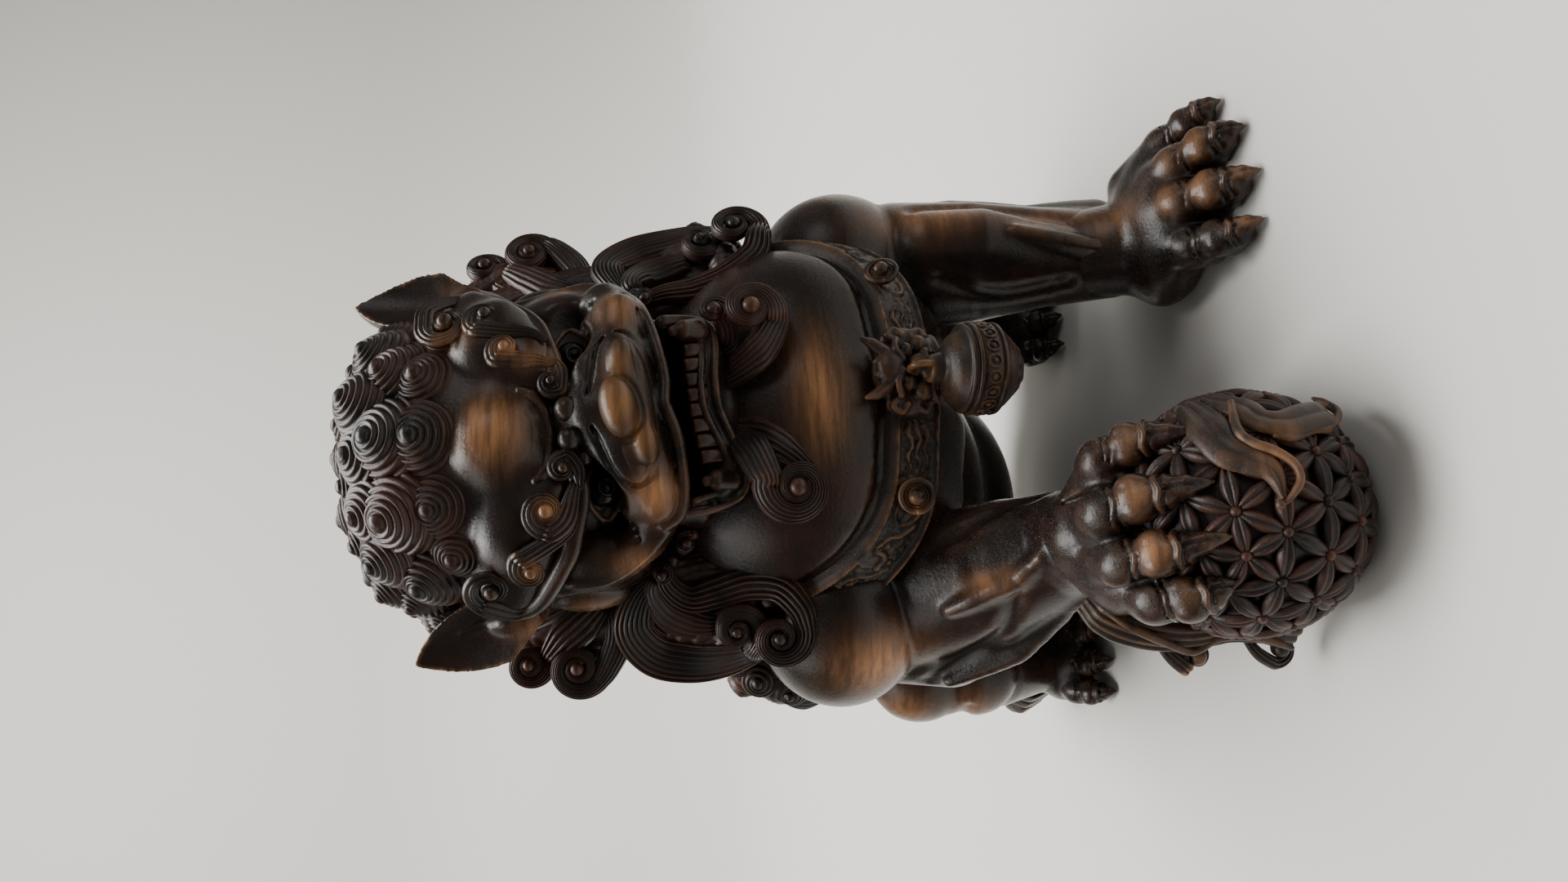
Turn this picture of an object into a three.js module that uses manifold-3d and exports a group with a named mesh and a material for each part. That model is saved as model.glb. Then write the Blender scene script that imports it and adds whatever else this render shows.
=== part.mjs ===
// A seated guardian lion (foo dog) with its right forepaw on a pierced ball, cast in sections.
// Millimetres, +Z up, the lion looks along -Y, and its own right side is at -X.
// Each section is a closed solid built from ellipsoids, tapered limbs, lathed and extruded shapes.
// A section is cut by the ones listed before it, with a joint gap, so that the sections seat in each other.
import * as THREE from "three";
import { mergeVertices } from "three/addons/utils/BufferGeometryUtils.js";
import Module from "manifold-3d";

const wasm = await Module();
wasm.setup();

// ---------- driving dimensions ----------
const JOINT_GAP = 0.35; // between neighbouring sections
const FLOOR = 0;
const BALL = { centre: [-54, -131.5, 30], radius: 35 };
const SHOULDER = { right_x: -66, left_x: 61.5, y: -38, z: 120, radius: 29, lift: 6 }; // the ball lifts the right one
const CHEST = { centre: [0, -33, 130], radii: [58, 60, 56], spread: 23, side_radii: [43, 55, 53] };
const HEAD = { origin: [-6, -30, 222], yaw: -3.5, nod: 6.4, roll: 6.4 }; // degrees
const COLLAR = { front: [0, -92, 108], slope: 42, width: 17, thickness: 4.5, end_y: -50, top: 158 };
const BELL = { centre: [-1.5, -109, 93], radius: 14.5 };
const HIND_X = 74;
const CLAW_LENGTH = 13;
const DETAIL = 0.5; // share of the full facet counts, to keep the solids light
const CAP_RINGS = 2; // rings in the round end of a limb
const COLOURS = { bronze: 0x2a1a14, rubbed: 0x7a4a22, dark: 0x15100e };

// ---------- solids ----------
const rad = THREE.MathUtils.degToRad;
const sides = (facets) => Math.max(6, 2 * Math.round((facets * DETAIL) / 2));

function solidOf(geometry) {
  const plain = geometry.clone();
  plain.deleteAttribute("normal");
  plain.deleteAttribute("uv");
  const merged = mergeVertices(plain, 1e-4);
  const mesh = new wasm.Mesh({
    numProp: 3,
    vertProperties: new Float32Array(merged.attributes.position.array),
    triVerts: new Uint32Array(merged.index.array),
  });
  return new wasm.Manifold(mesh);
}

function geometryOf(solid) {
  const mesh = solid.getMesh();
  const points = new Float32Array(mesh.numVert * 3);
  for (let i = 0; i < mesh.numVert; i++) {
    points.set(mesh.vertProperties.subarray(i * mesh.numProp, i * mesh.numProp + 3), i * 3);
  }
  const geometry = new THREE.BufferGeometry();
  geometry.setAttribute("position", new THREE.BufferAttribute(points, 3));
  geometry.setIndex(new THREE.BufferAttribute(new Uint32Array(mesh.triVerts), 1));
  return geometry;
}

const join = (...solids) => solids.reduce((sum, next) => sum.add(next));

// The largest connected body of a cut solid; slivers cut free are dropped.
function largest(solid) {
  return solid.decompose().reduce((a, b) => (b.volume() > a.volume() ? b : a));
}

// An ellipsoid. turn is its rotation about X, Y and Z in degrees.
function blob(centre, radii, grow = 0, turn = [0, 0, 0], facets = 16) {
  const geometry = new THREE.SphereGeometry(1, sides(facets), Math.round(sides(facets) * 0.6));
  geometry.rotateX(Math.PI / 2);
  geometry.scale(...radii.map((r) => r + grow));
  const place = new THREE.Matrix4().makeRotationFromEuler(new THREE.Euler(...turn.map(rad)));
  place.setPosition(...centre);
  return solidOf(geometry.applyMatrix4(place));
}

// A limb with round ends: radius ra at a, rb at b.
function limb(a, ra, b, rb, grow = 0, facets = 14) {
  const from = new THREE.Vector3(...a);
  const along = new THREE.Vector3(...b).sub(from);
  const length = along.length();
  const steps = CAP_RINGS;
  const profile = [];
  for (let i = 0; i <= steps; i++) {
    const t = (i / steps) * (Math.PI / 2);
    profile.push(new THREE.Vector2(Math.sin(t) * (ra + grow), -Math.cos(t) * (ra + grow)));
  }
  for (let i = steps; i >= 0; i--) {
    const t = (i / steps) * (Math.PI / 2);
    profile.push(new THREE.Vector2(Math.sin(t) * (rb + grow), length + Math.cos(t) * (rb + grow)));
  }
  profile[0].x = 0;
  profile[profile.length - 1].x = 0;
  const geometry = new THREE.LatheGeometry(profile, sides(facets));
  const turn = new THREE.Quaternion();
  turn.setFromUnitVectors(new THREE.Vector3(0, 1, 0), along.normalize());
  return solidOf(geometry.applyQuaternion(turn).translate(...a));
}

// Limbs joined end to end through points [x, y, z, radius].
function chain(points, grow = 0, facets = 12) {
  const links = points.slice(1).map((p, i) => {
    const q = points[i];
    return limb(q.slice(0, 3), q[3], p.slice(0, 3), p[3], grow, facets);
  });
  return join(...links);
}

function box(low, high) {
  const size = high.map((h, i) => h - low[i]);
  const geometry = new THREE.BoxGeometry(...size);
  return solidOf(geometry.translate(...high.map((h, i) => (h + low[i]) / 2)));
}

const aboveFloor = (solid) => solid.intersect(box([-200, -300, FLOOR], [200, 200, 400]));

// A claw: a cone bent down from its toe, at the end of the toe's line.
function claw(tip, root, radius, grow = 0) {
  return limb(root, radius, tip, 1.2, grow, 8);
}

// ---------- the head, in its own frame: +X its left, -Y forward, +Z up ----------
const headMatrix = new THREE.Matrix4().makeRotationZ(rad(HEAD.yaw));
headMatrix.multiply(new THREE.Matrix4().makeRotationX(rad(HEAD.nod)));
headMatrix.multiply(new THREE.Matrix4().makeRotationY(rad(-HEAD.roll)));
headMatrix.setPosition(...HEAD.origin);
const onHead = (solid) => solid.transform(headMatrix.elements);

const skull = (g) =>
  onHead(
    join(
      blob([0, -4, 12], [52, 48, 50], g, [0, 0, 0], 22),
      blob([0, -38, 18], [36, 18, 20], g),
      blob([-36, -22, -12], [20, 26, 22], g),
      blob([36, -22, -12], [20, 26, 22], g),
      blob([0, -50, -14], [30, 18, 12], g, [0, 0, 0], 18),
      blob([-24, -52, -19], [14, 13, 8.5], g, [0, 0, -22]),
      blob([24, -52, -19], [14, 13, 8.5], g, [0, 0, 22]),
    ).subtract(mouth()),
  );
// The open mouth between the upper lip and the lower jaw.
const mouth = () => blob([0, -56, -34], [25, 26, 8.5], 0, [8, 0, 0], 18);

const jaw = (g) =>
  onHead(
    join(
      blob([0, -34, -44], [27, 26, 11], g, [-6, 0, 0], 20),
      blob([-20, -52, -45], [8, 9, 7.5], g, [0, 0, -20]),
      blob([20, -52, -45], [8, 9, 7.5], g, [0, 0, 20]),
    ).subtract(mouth()),
  );
const tongue = (g) => onHead(blob([0, -40, -38], [11, 16, 3.4], g, [-10, 0, 0], 12));
const fang = (x, z, up) => (g) => onHead(limb([x, -56.5, z], 2.8, [x, -57.5, z + up], 0.9, g, 8));

const teethRow = (g) => {
  const count = 6;
  const teeth = [];
  for (let i = 0; i < count; i++) {
    const x = (i - (count - 1) / 2) * 5.2;
    const back = -57.5 + 0.02 * x * x;
    teeth.push(blob([x, back, -38.6], [2.85, 2.2, 2.6], g, [0, 0, 0], 8));
  }
  const rail = limb([-14, -54.2, -40.5], 2, [14, -54.2, -40.5], 2, g, 8);
  return onHead(join(...teeth, rail));
};

const nose = (g) =>
  onHead(
    join(
      blob([0, -66, -9], [11, 9, 6.5], g, [20, 0, 0]),
      blob([-13, -64.5, -14], [9.5, 7, 5.2], g, [0, 0, -10], 14),
      blob([13, -64.5, -14], [9.5, 7, 5.2], g, [0, 0, 10], 14),
    ),
  );
const eye = (side) => (g) => onHead(blob([side * 22, -45, -6], [8, 6.5, 7.5], g, [0, 0, 0], 12));
const brow = (side) => (g) =>
  onHead(
    chain(
      [
        [side * 13, -53, 5, 5],
        [side * 26, -50, 9, 7],
        [side * 40, -40, 13, 7.5],
        [side * 52, -24, 22, 6],
      ],
      g,
      10,
    ),
  );
const forehead = (g) => onHead(blob([0, -46, 20], [19.5, 14, 17], g, [-12, 0, 0], 18));
const ear = (side) => (g) =>
  onHead(
    join(
      blob([side * 56, 3, 28], [7, 12, 18], g, [0, side * 22, side * 20], 12),
      limb([side * 58, 6, 33], 9.5, [side * 62, 11, 51], 1.6, g, 10),
    ),
  );

// The cap of snail curls: a shell over the crown with one cone for each curl.
const CROWN = { centre: [0, -4, 16], radii: [56, 49, 50] };
const CURL_ROWS = [
  { tilt: 38, count: 5, spread: 96, radius: 12.5 },
  { tilt: 66, count: 5, spread: 118, radius: 13.5 },
  { tilt: 94, count: 5, spread: 124, radius: 13.5 },
  { tilt: 122, count: 4, spread: 104, radius: 13.5 },
];
const curlCap = (g) => {
  const shell = blob(CROWN.centre, CROWN.radii, g, [0, 0, 0], 20);
  const face = box([-80, -90, -60], [80, -34 - g, 100]);
  const below = box([-80, -90, -70], [80, 90, 24 - g]);
  const cones = CURL_ROWS.flatMap(({ tilt, count, spread, radius }) =>
    Array.from({ length: count }, (_, i) => {
      const side = count > 1 ? (i / (count - 1) - 0.5) * spread : 0;
      const [s, t] = [rad(side), rad(tilt)];
      const out = [Math.sin(s), -Math.cos(s) * Math.cos(t), Math.cos(s) * Math.sin(t)];
      const at = (k) => CROWN.centre.map((c, axis) => c + out[axis] * CROWN.radii[axis] * k);
      return limb(at(0.86), radius, at(1.07), 2.5, g, 12);
    }),
  );
  return onHead(join(shell.subtract(face).subtract(below), ...cones));
};

// ---------- mane and beard ----------
const maneBack = (g) =>
  join(
    blob([-4, 14, 212], [58, 34, 50], g, [0, 0, 0], 20),
    blob([-2, 20, 178], [64, 34, 42], g, [0, 0, 0], 20),
    blob([0, 34, 140], [40, 28, 34], g, [-20, 0, 0], 16),
  );
const maneSide = (side) => (g) => {
  const lean = side > 0 ? 5 : 0; // the head's roll lifts the left side
  const locks = chain(
    [
      [side * 62, -4, 242 + lean, 10],
      [side * 67, -12, 220 + lean, 13],
      [side * 68, -22, 194, 14],
    ],
    g,
    12,
  );
  const swirl = blob([side * 63, -32, 166], [21, 15, 30], g, [0, side * 12, side * 24], 14);
  return join(locks, swirl);
};
const beard = (side) => (g) =>
  onHead(
    chain(
      [
        [side * 18, -52, -54, 4.5],
        [side * 21, -60, -59, 5.5],
        [side * 27, -64, -64, 7],
      ],
      g,
      10,
    ),
  );
// A small lock on the back of each shoulder.
const backLock = (side) => (g) =>
  chain(
    [
      [side * 72, 6, 150, 11],
      [side * 82, 14, 138, 11],
      [side * 84, 16, 124, 9],
    ],
    g,
    10,
  );

// ---------- body ----------
const torsoShape = (g) =>
  join(
    blob(CHEST.centre, CHEST.radii, g, [0, 0, 0], 22),
    ...[-1, 1].map((side) =>
      blob([side * CHEST.spread, -34, 131], CHEST.side_radii, g, [0, 0, 0], 18),
    ),
    blob([0, 8, 112], [56, 60, 50], g, [0, 0, 0], 16),
    blob([0, 46, 82], [60, 44, 46], g, [-20, 0, 0], 16),
    blob([0, 70, 44], [50, 30, 33], g, [0, 0, 0], 16),
    limb([0, -20, 168], 44, [-3, -22, 196], 36, g, 16),
  );
const torso = (g) => aboveFloor(torsoShape(g));

const collar = (g) => {
  const { front, slope, width, thickness, end_y, top } = COLLAR;
  const slab = new THREE.BoxGeometry(300, 400, width + 2 * g);
  slab.rotateX(rad(slope));
  const centre = [front[0], front[1] + 4, front[2] + 1];
  const band = torsoShape(thickness + g).intersect(solidOf(slab.translate(...centre)));
  const inFront = band.intersect(box([-200, -300, 60], [200, end_y + g, top + g]));
  return largest(inFront.subtract(torsoShape(g > 0 ? 0 : JOINT_GAP)));
};
const collarMask = (g) =>
  join(
    blob([2, -101, 114], [14, 8, 12], g, [-20, 0, 0], 12),
    limb([-6, -100, 122], 3.5, [-9, -99, 131], 1.5, g, 8),
    limb([10, -100, 122], 3.5, [13, -99, 131], 1.5, g, 8),
  );
const stud = (x, y, z) => (g) => blob([x, y, z], [6, 4, 6], g, [35, 0, x * 0.7], 12);
const bell = (g) =>
  join(
    blob(BELL.centre, [BELL.radius, BELL.radius, BELL.radius * 0.92], g, [0, 0, 0], 18),
    limb([2, -109, 103], 6, [2, -107, 107], 5, g, 10),
  );

// ---------- forelegs ----------
const forelegRight = (g) =>
  join(
    blob(
      [SHOULDER.right_x, SHOULDER.y, SHOULDER.z + SHOULDER.lift],
      [SHOULDER.radius, 32, 28],
      g,
      [0, 0, 0],
      18,
    ),
    blob([-74, -30, 92], [14, 20, 20], g),
    limb([-61, -42, 98], 25, [-59, -66, 80], 24, g, 16),
    limb([-59, -66, 80], 24, [-54, -92, 66], 19, g, 16),
  );
const forelegLeft = (g) =>
  join(
    blob([SHOULDER.left_x, SHOULDER.y, SHOULDER.z - 4], [SHOULDER.radius, 32, 30], g, [0, 0, 0], 18),
    blob([76, -30, 82], [15, 20, 22], g),
    limb([64, -42, 92], 25, [62, -56, 64], 22, g, 16),
    limb([62, -56, 64], 22, [60, -70, 30], 17, g, 16),
  );

// The toes spread from the palm; each is two knuckles and a claw.
function paw(palm, palmRadii, toes, g, turn = [0, 0, 0]) {
  const solids = toes.map(({ base, knuckle, tip, size }) =>
    join(
      limb(base, size, knuckle, size, g, 10),
      claw(tip, knuckle, size * 0.75, g),
    ),
  );
  return join(blob(palm, palmRadii, g, turn, 16), ...solids);
}
const RIGHT_TOES = [
  { base: [-75, -122, 61], knuckle: [-79, -141, 58], tip: [-77.5, -153, 49], size: 7.5 },
  { base: [-63, -126, 69], knuckle: [-67, -143, 66], tip: [-65.5, -158, 53], size: 8 },
  { base: [-50, -126, 72], knuckle: [-52, -142, 69], tip: [-50.5, -158, 56], size: 8.5 },
  { base: [-35, -122, 69], knuckle: [-35, -136, 65], tip: [-34.5, -151, 53], size: 7.5 },
];
const forepawRight = (g) =>
  join(
    limb([-53, -92, 66], 17, [-54, -112, 66], 17, g, 14),
    paw([-54, -118, 66], [25, 20, 11], RIGHT_TOES, g, [-8, 0, 0]),
  );
const LEFT_TOES = [
  { base: [42, -102, 12], knuckle: [40, -118, 9], tip: [41, -119 - CLAW_LENGTH, 2], size: 8 },
  { base: [56, -107, 14], knuckle: [56, -122, 10], tip: [57, -124 - CLAW_LENGTH, 2], size: 8.5 },
  { base: [70, -105, 14], knuckle: [73, -120, 10], tip: [75, -121 - CLAW_LENGTH, 2], size: 8.5 },
  { base: [81, -97, 11], knuckle: [86, -111, 8.5], tip: [90, -113 - CLAW_LENGTH, 2], size: 7.5 },
];
const forepawLeft = (g) =>
  aboveFloor(
    join(
      limb([60, -70, 30], 16, [56, -78, 15], 18, g, 14),
      blob([47, -80, 10], [15, 15, 12], g, [0, 0, 0], 12),
      paw([60, -92, 14], [25, 22, 15], LEFT_TOES, g),
    ),
  );

// ---------- hind legs ----------
const hindLeg = (side) => (g) =>
  aboveFloor(
    join(
      blob([side * 64, 40, 66], [30, 44, 40], g, [0, 0, 0], 18),
      blob([side * 81, 14, 80], [21, 22, 21], g, [0, 0, 0], 14),
      limb([side * 83, 16, 66], 17, [side * 80, 40, 26], 13, g, 12),
    ),
  );
const hindToes = (side) =>
  [-17, -6, 6, 17].map((dx, i) => ({
    base: [side * HIND_X + dx * 0.8, 34, 10],
    knuckle: [side * HIND_X + dx, 22, 8],
    tip: [side * HIND_X + dx * 1.15, 22 - CLAW_LENGTH * 0.8, 2],
    size: i === 0 || i === 3 ? 6.5 : 7,
  }));
const hindPaw = (side) => (g) =>
  aboveFloor(
    join(
      limb([side * 80, 42, 24], 12, [side * 77, 42, 12], 13, g, 12),
      paw([side * HIND_X, 40, 11], [21, 20, 12], hindToes(side), g),
    ),
  );

// The tail: one heavy lock standing against the back, curled at its tip.
const tail = (g) =>
  chain(
    [
      [0, 86, 46, 10],
      [2, 94, 72, 16],
      [2, 91, 108, 15],
      [-6, 72, 142, 7],
    ],
    g,
    12,
  );

// ---------- ball and its ribbon ----------
const ball = (g) => aboveFloor(blob(BALL.centre, Array(3).fill(BALL.radius), g, [0, 0, 0], 26));

// A flat band that lies on the ball along a path of [azimuth, height] stations, in degrees and mm.
function band(stations, bandWidth, lift) {
  return (g) =>
    aboveFloor(
      join(
        ...stations.slice(1).map((station, i) => {
          const place = ([azimuth, z]) => {
            const dz = z - BALL.centre[2];
            const reach = Math.sqrt(Math.max(BALL.radius ** 2 - dz * dz, 0)) + lift;
            return [
              BALL.centre[0] + Math.sin(rad(azimuth)) * reach,
              BALL.centre[1] - Math.cos(rad(azimuth)) * reach,
              z,
              bandWidth,
            ];
          };
          return chain([place(stations[i]), place(station)], g, 8);
        }),
      ),
    );
}
// The ribbon on the far side hangs beside the ball from under the paw.
const ribbonRight = (g) =>
  chain(
    [
      [-84, -113, 68, 5],
      [-89, -114, 49, 5],
      [-87, -118, 34, 5],
      [-90, -119, 17, 5],
    ],
    g,
    10,
  );
const ribbonLeft = band([[24, 40], [46, 44], [70, 40], [80, 20]], 4.2, 1.5);

// ---------- assembly: a section gives way to every section above it in this list ----------
const SECTIONS = [
  ["bell", bell, "rubbed"],
  ["collar_beast_mask", collarMask, "rubbed"],
  ["collar_stud_right", stud(-36, -91.5, 113), "rubbed"],
  ["collar_stud_left", stud(39, -90, 114), "rubbed"],
  ["collar_band", collar, "bronze"],
  ["nose", nose, "rubbed"],
  ["eye_right", eye(-1), "dark"],
  ["eye_left", eye(1), "dark"],
  ["brow_right", brow(-1), "bronze"],
  ["brow_left", brow(1), "bronze"],
  ["forehead_boss", forehead, "rubbed"],
  ["fang_lower_right", fang(-22, -41, 6), "dark"],
  ["fang_lower_left", fang(22, -41, 6), "dark"],
  ["teeth_lower", teethRow, "dark"],
  ["tongue", tongue, "dark"],
  ["ear_right", ear(-1), "bronze"],
  ["ear_left", ear(1), "bronze"],
  ["beard_lock_right", beard(-1), "bronze"],
  ["beard_lock_left", beard(1), "bronze"],
  ["lower_jaw", jaw, "bronze"],
  ["curl_cap", curlCap, "bronze"],
  ["head", skull, "bronze"],
  ["mane_side_right", maneSide(-1), "bronze"],
  ["mane_side_left", maneSide(1), "bronze"],
  ["mane_back", maneBack, "bronze"],
  ["shoulder_lock_right", backLock(-1), "bronze"],
  ["shoulder_lock_left", backLock(1), "bronze"],
  ["ball", ball, "dark"],
  ["ball_ribbon_right", ribbonRight, "bronze"],
  ["ball_ribbon_left", ribbonLeft, "bronze"],
  ["forepaw_right", forepawRight, "bronze"],
  ["forepaw_left", forepawLeft, "bronze"],
  ["foreleg_right", forelegRight, "bronze"],
  ["foreleg_left", forelegLeft, "bronze"],
  ["hind_paw_right", hindPaw(-1), "bronze"],
  ["hind_paw_left", hindPaw(1), "bronze"],
  ["hind_leg_right", hindLeg(-1), "bronze"],
  ["hind_leg_left", hindLeg(1), "bronze"],
  ["tail", tail, "bronze"],
  ["torso", torso, "bronze"],
];

function buildSections() {
  const cutters = [];
  const group = new THREE.Group();
  for (const [name, make, colour] of SECTIONS) {
    const solid = cutters.reduce((rest, cutter) => rest.subtract(cutter), make(0));
    const material = new THREE.MeshStandardMaterial({
      color: COLOURS[colour],
      roughness: 0.42,
      metalness: 0.15,
    });
    const mesh = new THREE.Mesh(geometryOf(largest(solid)), material);
    mesh.name = name;
    group.add(mesh);
    cutters.push(make(JOINT_GAP));
  }
  return group;
}

// The row's origin is the middle of the bounding box, at the floor.
const statue = buildSections();
const bounds = new THREE.Box3().setFromObject(statue);
const middle = bounds.getCenter(new THREE.Vector3());
statue.position.set(-middle.x, -middle.y, -bounds.min.z);

export default statue;
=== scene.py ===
# A seated guardian lion (foo dog) statue with its right forepaw on a pierced ball.
# Shapes are worked out in millimetres in the statue's design frame and placed on the CAD frame by OFFSET.
import math
import bpy
import numpy as np
import openvdb as vdb
from mathutils import Matrix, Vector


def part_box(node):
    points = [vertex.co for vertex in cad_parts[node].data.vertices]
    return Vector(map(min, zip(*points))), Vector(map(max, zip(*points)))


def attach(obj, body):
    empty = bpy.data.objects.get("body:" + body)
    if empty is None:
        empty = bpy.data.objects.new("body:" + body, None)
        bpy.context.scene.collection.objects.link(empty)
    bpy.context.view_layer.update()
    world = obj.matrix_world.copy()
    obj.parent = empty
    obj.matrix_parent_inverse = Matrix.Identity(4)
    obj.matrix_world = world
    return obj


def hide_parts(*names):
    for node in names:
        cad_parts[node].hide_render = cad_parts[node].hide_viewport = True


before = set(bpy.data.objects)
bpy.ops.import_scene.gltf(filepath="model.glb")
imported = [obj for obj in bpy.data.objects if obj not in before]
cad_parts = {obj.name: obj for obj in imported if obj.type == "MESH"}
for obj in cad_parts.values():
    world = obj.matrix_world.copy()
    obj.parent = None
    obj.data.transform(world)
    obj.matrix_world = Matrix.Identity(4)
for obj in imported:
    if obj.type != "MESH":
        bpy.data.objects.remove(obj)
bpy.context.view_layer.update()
MM = 0.001


def grain(fine):
    """How coarse a sculpted surface is, in mm."""
    return fine


STEP = grain(1.0)

BALL = np.array([-54.0, -131.5, 30.0])
BALL_R = 35.0
cad_low, cad_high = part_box("ball")
OFFSET = np.array([500 * (cad_low.x + cad_high.x) - BALL[0],
                   500 * (cad_low.y + cad_high.y) - BALL[1], 0.0])


def rotation(x, y, z):
    """Rotation matrix for turns about X, Y and Z, in degrees."""
    x, y, z = (math.radians(a) for a in (x, y, z))
    rx = np.array([[1, 0, 0], [0, math.cos(x), -math.sin(x)], [0, math.sin(x), math.cos(x)]])
    ry = np.array([[math.cos(y), 0, math.sin(y)], [0, 1, 0], [-math.sin(y), 0, math.cos(y)]])
    rz = np.array([[math.cos(z), -math.sin(z), 0], [math.sin(z), math.cos(z), 0], [0, 0, 1]])
    return rx @ ry @ rz


def unit(v):
    v = np.asarray(v, float)
    return v / max(np.linalg.norm(v), 1e-9)


HEAD_AT = np.array([-6.0, -30.0, 222.0])
HEAD_TURN = rotation(0, 0, -3.5) @ rotation(6.4, 0, 0) @ rotation(0, -6.4, 0)


def on_head(points):
    return np.asarray(points, float) @ HEAD_TURN.T + HEAD_AT


def smooth_path(points, count):
    """Catmull-Rom through points, resampled to count stations."""
    p = np.asarray(points, float)
    p = np.vstack([2 * p[0] - p[1], p, 2 * p[-1] - p[-2]])
    out = []
    steps = 12
    for i in range(1, len(p) - 2):
        a, b, c, d = p[i - 1], p[i], p[i + 1], p[i + 2]
        for t in np.linspace(0, 1, steps, endpoint=False):
            out.append(0.5 * (2 * b + (c - a) * t + (2 * a - 5 * b + 4 * c - d) * t**2
                              + (3 * b - a - 3 * c + d) * t**3))
    out.append(p[-2])
    out = np.array(out)
    along = np.concatenate([[0], np.cumsum(np.linalg.norm(np.diff(out[:, :3], axis=0), axis=1))])
    at = np.linspace(0, along[-1], count)
    return np.column_stack([np.interp(at, along, out[:, k]) for k in range(out.shape[1])])


# ---------- sculpting: smooth unions and cuts on a distance grid ----------
FAR = 40.0  # distance given to empty space
STEADY = 6.0  # distances past this don't matter to the surface


class Clay:
    def __init__(self, low, high, step=STEP):
        self.low, self.step = np.array(low, float), step
        count = np.ceil((np.array(high, float) - self.low) / step).astype(int) + 1
        self.axes = [(self.low[i] + step * np.arange(count[i])).astype(np.float32) for i in range(3)]
        self.f = np.full(count, FAR, np.float32)
        self.x, self.y, self.z = (self.axes[0][:, None, None], self.axes[1][None, :, None],
                                  self.axes[2][None, None, :])

    def window(self, low, high):
        cut = []
        for i in range(3):
            a = int(np.clip(np.floor((low[i] - self.low[i]) / self.step), 0, self.f.shape[i] - 1))
            b = int(np.clip(np.ceil((high[i] - self.low[i]) / self.step) + 1, a + 1, self.f.shape[i]))
            cut.append(slice(a, b))
        x, y, z = (self.axes[i][cut[i]] for i in range(3))
        return tuple(cut), x[:, None, None], y[None, :, None], z[None, None, :]

    def mix(self, cut, d, k, carve):
        a = self.f[cut]
        if carve:
            h = np.clip(0.5 - 0.5 * (a + d) / k, 0, 1)
            self.f[cut] = a * (1 - h) - d * h + k * h * (1 - h)
        else:
            h = np.clip(0.5 + 0.5 * (a - d) / k, 0, 1)
            self.f[cut] = a * (1 - h) + d * h - k * h * (1 - h)

    def blob(self, centre, radii, k=4.0, turn=(0, 0, 0), carve=False):
        c, r = np.array(centre, float), np.array(radii, float)
        m = rotation(*turn)
        reach = np.sqrt((m**2) @ (r**2)) + k + 3 * self.step + 2
        cut, x, y, z = self.window(c - reach, c + reach)
        x, y, z = x - c[0], y - c[1], z - c[2]
        u = [(m[0, i] * x + m[1, i] * y + m[2, i] * z) / r[i] for i in range(3)]
        k0 = np.sqrt(u[0] ** 2 + u[1] ** 2 + u[2] ** 2)
        k1 = np.sqrt((u[0] / r[0]) ** 2 + (u[1] / r[1]) ** 2 + (u[2] / r[2]) ** 2)
        self.mix(cut, (k0 * (k0 - 1) / np.maximum(k1, 1e-6)).astype(np.float32), k, carve)
        return self

    def tube(self, points, k=3.0, carve=False):
        """A round limb through points [x, y, z, radius]; a cut or a joint of depth k."""
        p = np.asarray(points, float)
        reach = p[:, 3].max() + k + 3 * self.step + 2
        cut, x, y, z = self.window(p[:, :3].min(0) - reach, p[:, :3].max(0) + reach)
        d = np.full(np.broadcast_shapes(x.shape, y.shape, z.shape), FAR, np.float32)
        for a, b in zip(p[:-1], p[1:]):
            near = max(a[3], b[3]) + k + 3 * self.step + 2
            part, px, py, pz = self.window(np.minimum(a, b)[:3] - near, np.maximum(a, b)[:3] + near)
            ab = b[:3] - a[:3]
            length2 = max(ab @ ab, 1e-9)
            qx, qy, qz = px - a[0], py - a[1], pz - a[2]
            t = np.clip((qx * ab[0] + qy * ab[1] + qz * ab[2]) / length2, 0, 1)
            e = np.sqrt((qx - t * ab[0]) ** 2 + (qy - t * ab[1]) ** 2
                        + (qz - t * ab[2]) ** 2) - (a[3] + t * (b[3] - a[3]))
            local = tuple(slice(s.start - c.start, s.stop - c.start) for s, c in zip(part, cut))
            d[local] = np.minimum(d[local], e)
        self.mix(cut, d, k, carve)
        return self

    def strip(self, points, radius, k=1.0, carve=False, count=40):
        """A thin raised or engraved line through points."""
        path = smooth_path(points, count)
        return self.tube(np.column_stack([path, np.full(len(path), radius)]), k, carve)

    def snap(self, points, lift=0.0):
        """Points moved along the normal onto the surface, or lift outside it."""
        p = np.array(points, float)
        top = np.array(self.f.shape) - 2
        for _ in range(5):
            i, j, k = np.clip(np.round((p - self.low) / self.step).astype(int), 1, top).T
            g = np.column_stack([self.f[i + 1, j, k] - self.f[i - 1, j, k], self.f[i, j + 1, k]
                                 - self.f[i, j - 1, k], self.f[i, j, k + 1] - self.f[i, j, k - 1]])
            n = g / (np.linalg.norm(g, axis=1)[:, None] + 1e-6)
            off = p - (self.low + self.step * np.column_stack([i, j, k]))
            d = self.f[i, j, k] + np.einsum("ij,ij->i", n, off) - lift
            p -= np.clip(d, -4, 4)[:, None] * n
        return p

    def crease(self, points, radius=1.2, k=4.0, lift=0.3, raised=False, count=36):
        """A soft fold of skin that fades out at both ends, cut into or laid on the surface."""
        path = self.snap(smooth_path(points, count), -lift if raised else lift)
        size = radius * np.sin(math.pi * np.linspace(0.06, 0.94, count)) ** 0.6
        return self.tube(np.column_stack([path, size]), k, not raised)

    def above(self, z0):
        self.f = np.maximum(self.f, z0 - self.z)
        return self

    def keep(self, d, k=0.6):
        """Keeps the part where the field d is negative, with an edge rounded by k."""
        d = np.broadcast_to(d, self.f.shape).astype(np.float32)
        h = np.clip(0.5 - 0.5 * (d - self.f) / k, 0, 1)
        self.f = (d * (1 - h) + self.f * h + k * h * (1 - h)).astype(np.float32)
        return self

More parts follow.
